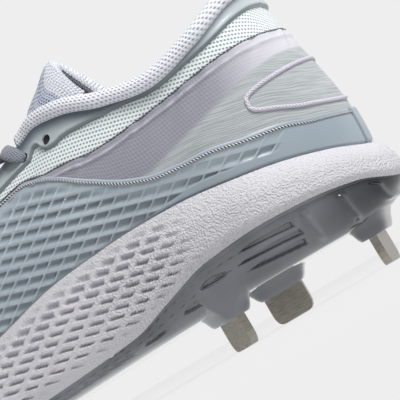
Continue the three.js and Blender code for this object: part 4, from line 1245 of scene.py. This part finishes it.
# %% Tubes for piping, stitches and laces
def tube(name, centre, normal, width, height, closed=False, sides=14):
    """A cord through points, with its flat side along the normals."""
    if closed:
        centre = np.concatenate([centre, centre[:1]])
        normal = np.concatenate([normal, normal[:1]])
        run = np.gradient(np.concatenate([centre[-2:-1], centre, centre[1:2]]), axis=0)[1:-1]
    else:
        run = np.gradient(centre, axis=0)
    side = np.cross(run, normal)
    side /= np.linalg.norm(side, axis=-1, keepdims=True)
    angle = np.linspace(0, 2 * np.pi, sides + 1)
    w, h = np.broadcast_to(width, len(centre)), np.broadcast_to(height, len(centre))
    ring = centre[:, None] + normal[:, None] * (np.sin(angle)[None, :, None] * h[:, None, None] / 2)
    ring = ring + side[:, None] * (np.cos(angle)[None, :, None] * w[:, None, None] / 2)
    made = skin(name, ring)
    join_seam(made, fill=not closed)
    bpy.ops.object.shade_smooth()
    return made


def resample(points, count):
    length = arc(points, 0)
    where = np.linspace(0, length[-1], count)
    return np.stack([np.interp(where, length, points[:, k]) for k in range(points.shape[1])], -1)


# %% [markdown]
# ### Piping
#
# A raised cord frames the patch at the heel. Its line is a superellipse in the wall's own two numbers,
# so that it bends round the heel with the wall.

# %% Piping round the heel patch
PATCH_REACH, PATCH_TOP, PATCH_CLEARANCE = 38.0, 69.5, 4.0
PIPING_LIFT, PIPING_WIDTH, PIPING_HEIGHT = GAP + 0.65, 1.4, 1.3


def place_round(reach):
    steps = np.arange(0, 0.3, 0.0025)
    length = arc(wall(steps, np.full_like(steps, 0.3)), 0)
    found = np.interp(np.abs(reach), length, steps)
    return np.where(reach < 0, found, -found)


angle = np.linspace(0, 2 * np.pi, 240, endpoint=False)
round_u = place_round(power(np.cos(angle), 0.7) * PATCH_REACH)
bottom = rand_share(round_u) + PATCH_CLEARANCE / wall_length(round_u)
rise = (1 + power(np.sin(angle), 0.6)) / 2
round_v = bottom * (1 - rise) + wall_share_at_height(round_u, PATCH_TOP) * rise
centre = wall(round_u, round_v, PIPING_LIFT)
piping = tube(
    "heel_piping_cord", centre, wall(round_u, round_v, PIPING_LIFT + 1) - centre,
    PIPING_WIDTH, PIPING_HEIGHT, closed=True,
)
dress(piping, PIPING_THREAD, "piping", "heel_piping")

# %% [markdown]
# ### Stitches
#
# A row of stitches is one thin cord, and its finish draws two plies that wind round each other. That
# reads as thread from a step away, with far fewer faces than single stitches.

# %% Stitches
def twisted_thread(name, light, dark, pitch):
    """Two plies, one light and one dark, wound round each other."""
    f = Finish(name, Roughness=0.7)
    _, s, t = f.uv()
    ply = ((s + t * 0.7) / pitch).fract()
    f.colour(f.blend(ply.step(0.42, 0.5) * (1.0 - ply.step(0.92, 1.0)), dark, light))
    f.bump(((s + t * 0.7) * 2.0).wave(pitch), 0.12, 0.8)
    return f.material


def seam(name, columns, shares_up, lift, size, finish):
    steps = resample(np.stack([columns, shares_up], -1), 1400)
    centre = wall(steps[:, 0], steps[:, 1], lift)
    normal = wall(steps[:, 0], steps[:, 1], lift + 1) - centre
    made = tube(name, centre, normal, size, size * 0.8, sides=6)
    dress(made, finish, "piping")


RAND_THREAD = twisted_thread("rand thread", (0.8, 0.8, 0.84), (0.03, 0.03, 0.04), 1.1)
EDGE_THREAD = twisted_thread("edge thread", (0.4, 0.4, 0.45), (0.03, 0.03, 0.04), 1.3)
span = np.linspace(place_at(0.66), -place_at(0.66), 900)
seam("rand_stitches", span, rand_share(span) - 1.5 / wall_length(span), 1.35, 0.75, RAND_THREAD)
span = around_heel[20:-20]
seam("quarter_stitches", span, quarter_share(span), 0.6, 0.45, EDGE_THREAD)

# %% [markdown]
# ### The lace
#
# The lace is a bar across the front pair of eyelets and crossings from pair to pair behind it. The
# pair nearest the collar stays empty. Each run arches over the tongue and narrows towards its eyelets.
# The runs end on the wall, because where they go on inside the shoe can't be seen.

# %% Laces
LACE_RISE, LACE_START_LIFT = 0.42, 0.3
LACE_WIDTH, LACE_END_WIDTH, LACE_THICKNESS = 5.2, 2.6, 2.4


def lace_run(first, second):
    (ua, va), (ub, vb) = eyelet_place(*first), eyelet_place(*second)
    a, b = wall(ua, va, LACE_START_LIFT), wall(ub, vb, LACE_START_LIFT)
    na, nb = wall(ua, va, LACE_START_LIFT + 1) - a, wall(ub, vb, LACE_START_LIFT + 1) - b
    reach = np.linalg.norm(a - b)
    t = np.linspace(0, 1, 60)
    rise = LACE_RISE * reach + 4.5
    low, high = a * 0.76 + b * 0.24 + na * rise, b * 0.76 + a * 0.24 + nb * rise
    line = bezier([p[None, :] for p in (a, low, high, b)], t)
    normal = na[None] * (1 - t[:, None]) + nb[None] * t[:, None]
    normal /= np.linalg.norm(normal, axis=-1, keepdims=True)
    return line, normal


runs = [((-1, 5), (1, 5))]
for k in range(5, 1, -1):
    runs += [((-1, k), (1, k - 1)), ((1, k), (-1, k - 1))]
for number, (first, second) in enumerate(runs):
    line, normal = lace_run(first, second)
    t = np.linspace(0, 1, len(line))
    taper = smooth(np.minimum(t, 1 - t), -0.03, 0.12)
    width = LACE_END_WIDTH + (LACE_WIDTH - LACE_END_WIDTH) * taper
    made = tube(f"lace_run_{number}", line, normal, width, LACE_THICKNESS, sides=20)
    dress(made, LACE_BRAID, "lace", *(["lace"] if number == 0 else []))

# %% [markdown]
# ## The tongue
#
# The tongue lies under the throat and stands free above the collar, padded, with a ribbed facing that
# turns over its top edge.

# %% Tongue
# The middle's place along and up, and the side edge's along, across and up, in shares.
TONGUE_TOP = (
    (0.332, 0.9, 0.318, 0.125, 0.81), (0.31, 0.945, 0.288, 0.12, 0.82), (0.293, 0.982, 0.262, 0.108, 0.84),
    (0.281, 0.996, 0.253, 0.096, 0.853),
)
TONGUE_HEIGHT, TONGUE_THICKNESS = 116.0, 4.4


def tucked_row(at_share, columns):
    u_side = float(place_at(at_share))
    drop = lambda side, down: wall(side, 1 - down / float(wall_length(side)), -(UPPER_WALL + 3 * GAP))
    outer, inner = drop(u_side, 0), drop(-u_side, 0)
    crown = (outer + inner) / 2 + np.array([0, 0, 0.3 * np.linalg.norm(outer - inner)])
    t = np.linspace(0, 1, 5)[:, None]
    arch = outer * (1 - t) ** 2 + 2 * crown * t * (1 - t) + inner * t**2
    outer_side = [drop(u_side, 9.0), drop(u_side, 4.5)]
    inner_side = [drop(-u_side, 4.5), drop(-u_side, 9.0)]
    return resample_smooth(np.concatenate([outer_side, arch, inner_side]), columns)


def standing_row(row, columns):
    along, up, edge_along, edge_across, edge_up = row
    middle = place(along * LENGTH, 0, up * TONGUE_HEIGHT)
    side = place(edge_along * LENGTH, edge_across * BALL_WIDTH, edge_up * TONGUE_HEIGHT)
    turn = (np.linspace(0, 1, columns) - 0.5) * np.pi
    blend = 1 - np.cos(turn)
    points = middle * (1 - blend[:, None]) + side * blend[:, None]
    points[:, 1] = (side[1] - MIDDLE) * np.sin(turn) + MIDDLE
    return points


def smooth_line(knots, where):
    """A smooth curve through knots, at places counted in knots."""
    n = len(knots)
    tangent = np.gradient(knots, axis=0)
    i = np.clip(np.floor(where).astype(int), 0, n - 2)
    s = (where - i)[:, None] if knots.ndim == 2 else (where - i)[:, None, None]
    return hermite(s, knots[i], knots[i + 1], tangent[i], tangent[i + 1])


def resample_smooth(knots, count):
    return smooth_line(knots, np.linspace(0, len(knots) - 1, count))


def tongue_finish(total):
    """A knit with rows of dark holes, in bands."""
    f = Finish("tongue knit", Roughness=0.85, Sheen_Weight=0.3)
    _, s, t = f.uv()
    x, y = staggered(s, t, 1.15, 0.95)
    hole = 1.0 - ((x * 1.1) ** 2 + y**2).math("SQRT").step(0.24, 0.46)
    band = (t / 4.6).fract().step(0.25, 0.4)
    fuzz = f.noise(f.place(), 1.6, 3.0)
    dark = (hole * (band * 0.75 + 0.25) + (fuzz - 0.5) * 0.5).most(0.0)
    knit = f.blend(dark, (0.5, 0.54, 0.65), (0.07, 0.1, 0.19))
    strap = (1.0 - s.size().step(3.4, 3.8)) * (1.0 - t.step(total - 8, total - 7))
    rib = (s + (t * 0.9).wave(2.4) * 0.15).wave(1.3) * 0.5 + 0.5
    ribbed_edge = f.blend(rib, (0.55, 0.58, 0.66), (0.82, 0.83, 0.87))
    knit = f.blend(t.step(total - 4.8, total - 4.2), knit, ribbed_edge)
    webbing = f.blend(t.wave(0.9) * 0.5 + 0.5, (0.27, 0.3, 0.28), (0.4, 0.43, 0.41))
    f.colour(f.blend(strap, knit, webbing))
    f.bump(1.0 - hole + fuzz * 0.3, 0.35, 0.8)
    return f.material


ACROSS = 60
rows = [tucked_row(at, ACROSS) for at in np.linspace(0.68, 0.35, 9)]
rows += [standing_row(row, ACROSS) for row in TONGUE_TOP]
face = resample_smooth(np.stack(rows), 150)
face = np.swapaxes(face, 0, 1)[::-1]
tongue = skin("tongue_pad", face, thickness=TONGUE_THICKNESS, level_rows=False)
dress(tongue, tongue_finish(float(arc(face, 1)[:, -1].mean())), "textile", "tongue")

# %% [markdown]
# ### Facing and lining
#
# A padded ribbed strip runs along the tongue's top edge, and a sheet of the same rib lines the upper
# half of its back.

# %% Ribbed facing of the tongue
def ribbed_finish():
    f = Finish("ribbed facing", Roughness=0.85, Sheen_Weight=0.3)
    _, s, t = f.uv()
    rib = (s + (t * 0.9).wave(2.4) * 0.2).wave(1.25)
    f.colour(f.blend(rib * 0.5 + 0.5, (0.55, 0.58, 0.66), (0.82, 0.83, 0.87)))
    f.bump(rib, 0.3, 0.8)
    return f.material


RIBBED = ribbed_finish()
LINING_DEPTH, FACING_DEPTH, FACING_WIDTH, FACING_HEIGHT = 5.2, 3.4, 4.2, 4.6
FACING_TILT = [0.5, 0.0, 0.86]
lining = (face - grid_normals(face) * LINING_DEPTH)[::-1, 75:]
dress(skin("tongue_lining", lining, skirt=0.15, level_rows=False), RIBBED, "lining")
inner_row = face[:, -6] - grid_normals(face)[:, -6] * FACING_DEPTH
line = resample_smooth(inner_row, 240)
facing_normal = np.broadcast_to(FACING_TILT, line.shape)
facing = tube("tongue_facing", line, facing_normal, FACING_WIDTH, FACING_HEIGHT)
dress(facing, RIBBED, "textile")

# %% [markdown]
# ### Insole and blades
#
# The insole is a plain pad that fills the footbed. The blades are the solids of the CAD model: steel
# needs no other form, only a brushed finish.

# %% Insole
INSOLE_THICKNESS, INSOLE_INSET = 4.0, CUP_INSET + GAP + 2.3
INSOLE_TOP = INSOLE_THICKNESS + GAP
bed_u = around(241)
bed_ring = inset(
    bed_u, np.full_like(bed_u, INSOLE_INSET), lambda own, beside: level(own, "footbed") + INSOLE_TOP
)
bed_rows = towards_spine(
    bed_ring, (0.0, 0.25, 0.5, 0.75, 1.0), lambda at: level(at, "footbed") + INSOLE_TOP
)
insole = skin("sock_liner", bed_rows, thickness=INSOLE_THICKNESS)
dress(insole, SOCK_LINER, "lining", "insole")

# %% Steel of the blades
for node in BLADES:
    wear(bpy.data.objects["blade_" + node], BRUSHED_STEEL)
print(len(BLADES), "blades are steel")

# %% [markdown]
# ## Studio
#
# The shoe stands on a pale floor in a bright studio. The sky is a dome that is bright behind the shoe
# and dimmer on the camera's side, and one large soft lamp shines on the shoe from above.

# %% Floor
FLOOR_SIZE, FLOOR_GLOW = 12.0, 0.785
FLOOR_TONES = (0.05, 0.05, 0.05), (0.055, 0.055, 0.055)
bpy.ops.mesh.primitive_plane_add(size=FLOOR_SIZE, location=(0, 0, 0))
floor = bpy.context.object
floor.name = "floor"
paint = Finish("floor paint", Roughness=0.9, Specular_IOR_Level=0.0)
speck = paint.noise(paint.place(), 0.01, 2.0)
paint.colour(paint.blend(speck, FLOOR_TONES[0], FLOOR_TONES[1]))
paint.shader.inputs["Emission Color"].default_value = (1, 1, 1, 1)
paint.shader.inputs["Emission Strength"].default_value = FLOOR_GLOW
floor.data.materials.append(paint.material)

# %% Sky dome
SKY_STRENGTH = 0.26, 0.855
world = bpy.context.scene.world or bpy.data.worlds.new("studio")
bpy.context.scene.world = world
world.use_nodes = True
sky = world.node_tree
direction = sky.nodes.new("ShaderNodeTexCoord")
split = sky.nodes.new("ShaderNodeSeparateXYZ")
behind = sky.nodes.new("ShaderNodeMapRange")
behind.interpolation_type = "SMOOTHSTEP"
for socket, value in zip(("From Min", "From Max", "To Min", "To Max"), (0.1, 0.7, *SKY_STRENGTH)):
    behind.inputs[socket].default_value = value
sky.links.new(direction.outputs["Generated"], split.inputs[0])
sky.links.new(split.outputs["Y"], behind.inputs["Value"])
sky.links.new(behind.outputs[0], sky.nodes["Background"].inputs["Strength"])
sky.nodes["Background"].inputs["Color"].default_value = (1, 1, 1, 1)


# %% Lamps
bpy.context.scene.view_settings.view_transform = "Standard"


def soft_light(name, spot, size, power):
    data = bpy.data.lights.new(name, "AREA")
    data.size = size
    data.energy = power
    lamp = bpy.data.objects.new(name, data)
    bpy.context.scene.collection.objects.link(lamp)
    lamp.location = spot
    lamp.rotation_euler = (AIM - Vector(spot)).to_track_quat("-Z", "Y").to_euler()


KEY_PLACE, KEY_SIZE, KEY_POWER = (0.64, -0.3, 0.88), 0.4, 12
soft_light("key", KEY_PLACE, KEY_SIZE, KEY_POWER)
print("one lamp of", KEY_POWER, "watts")
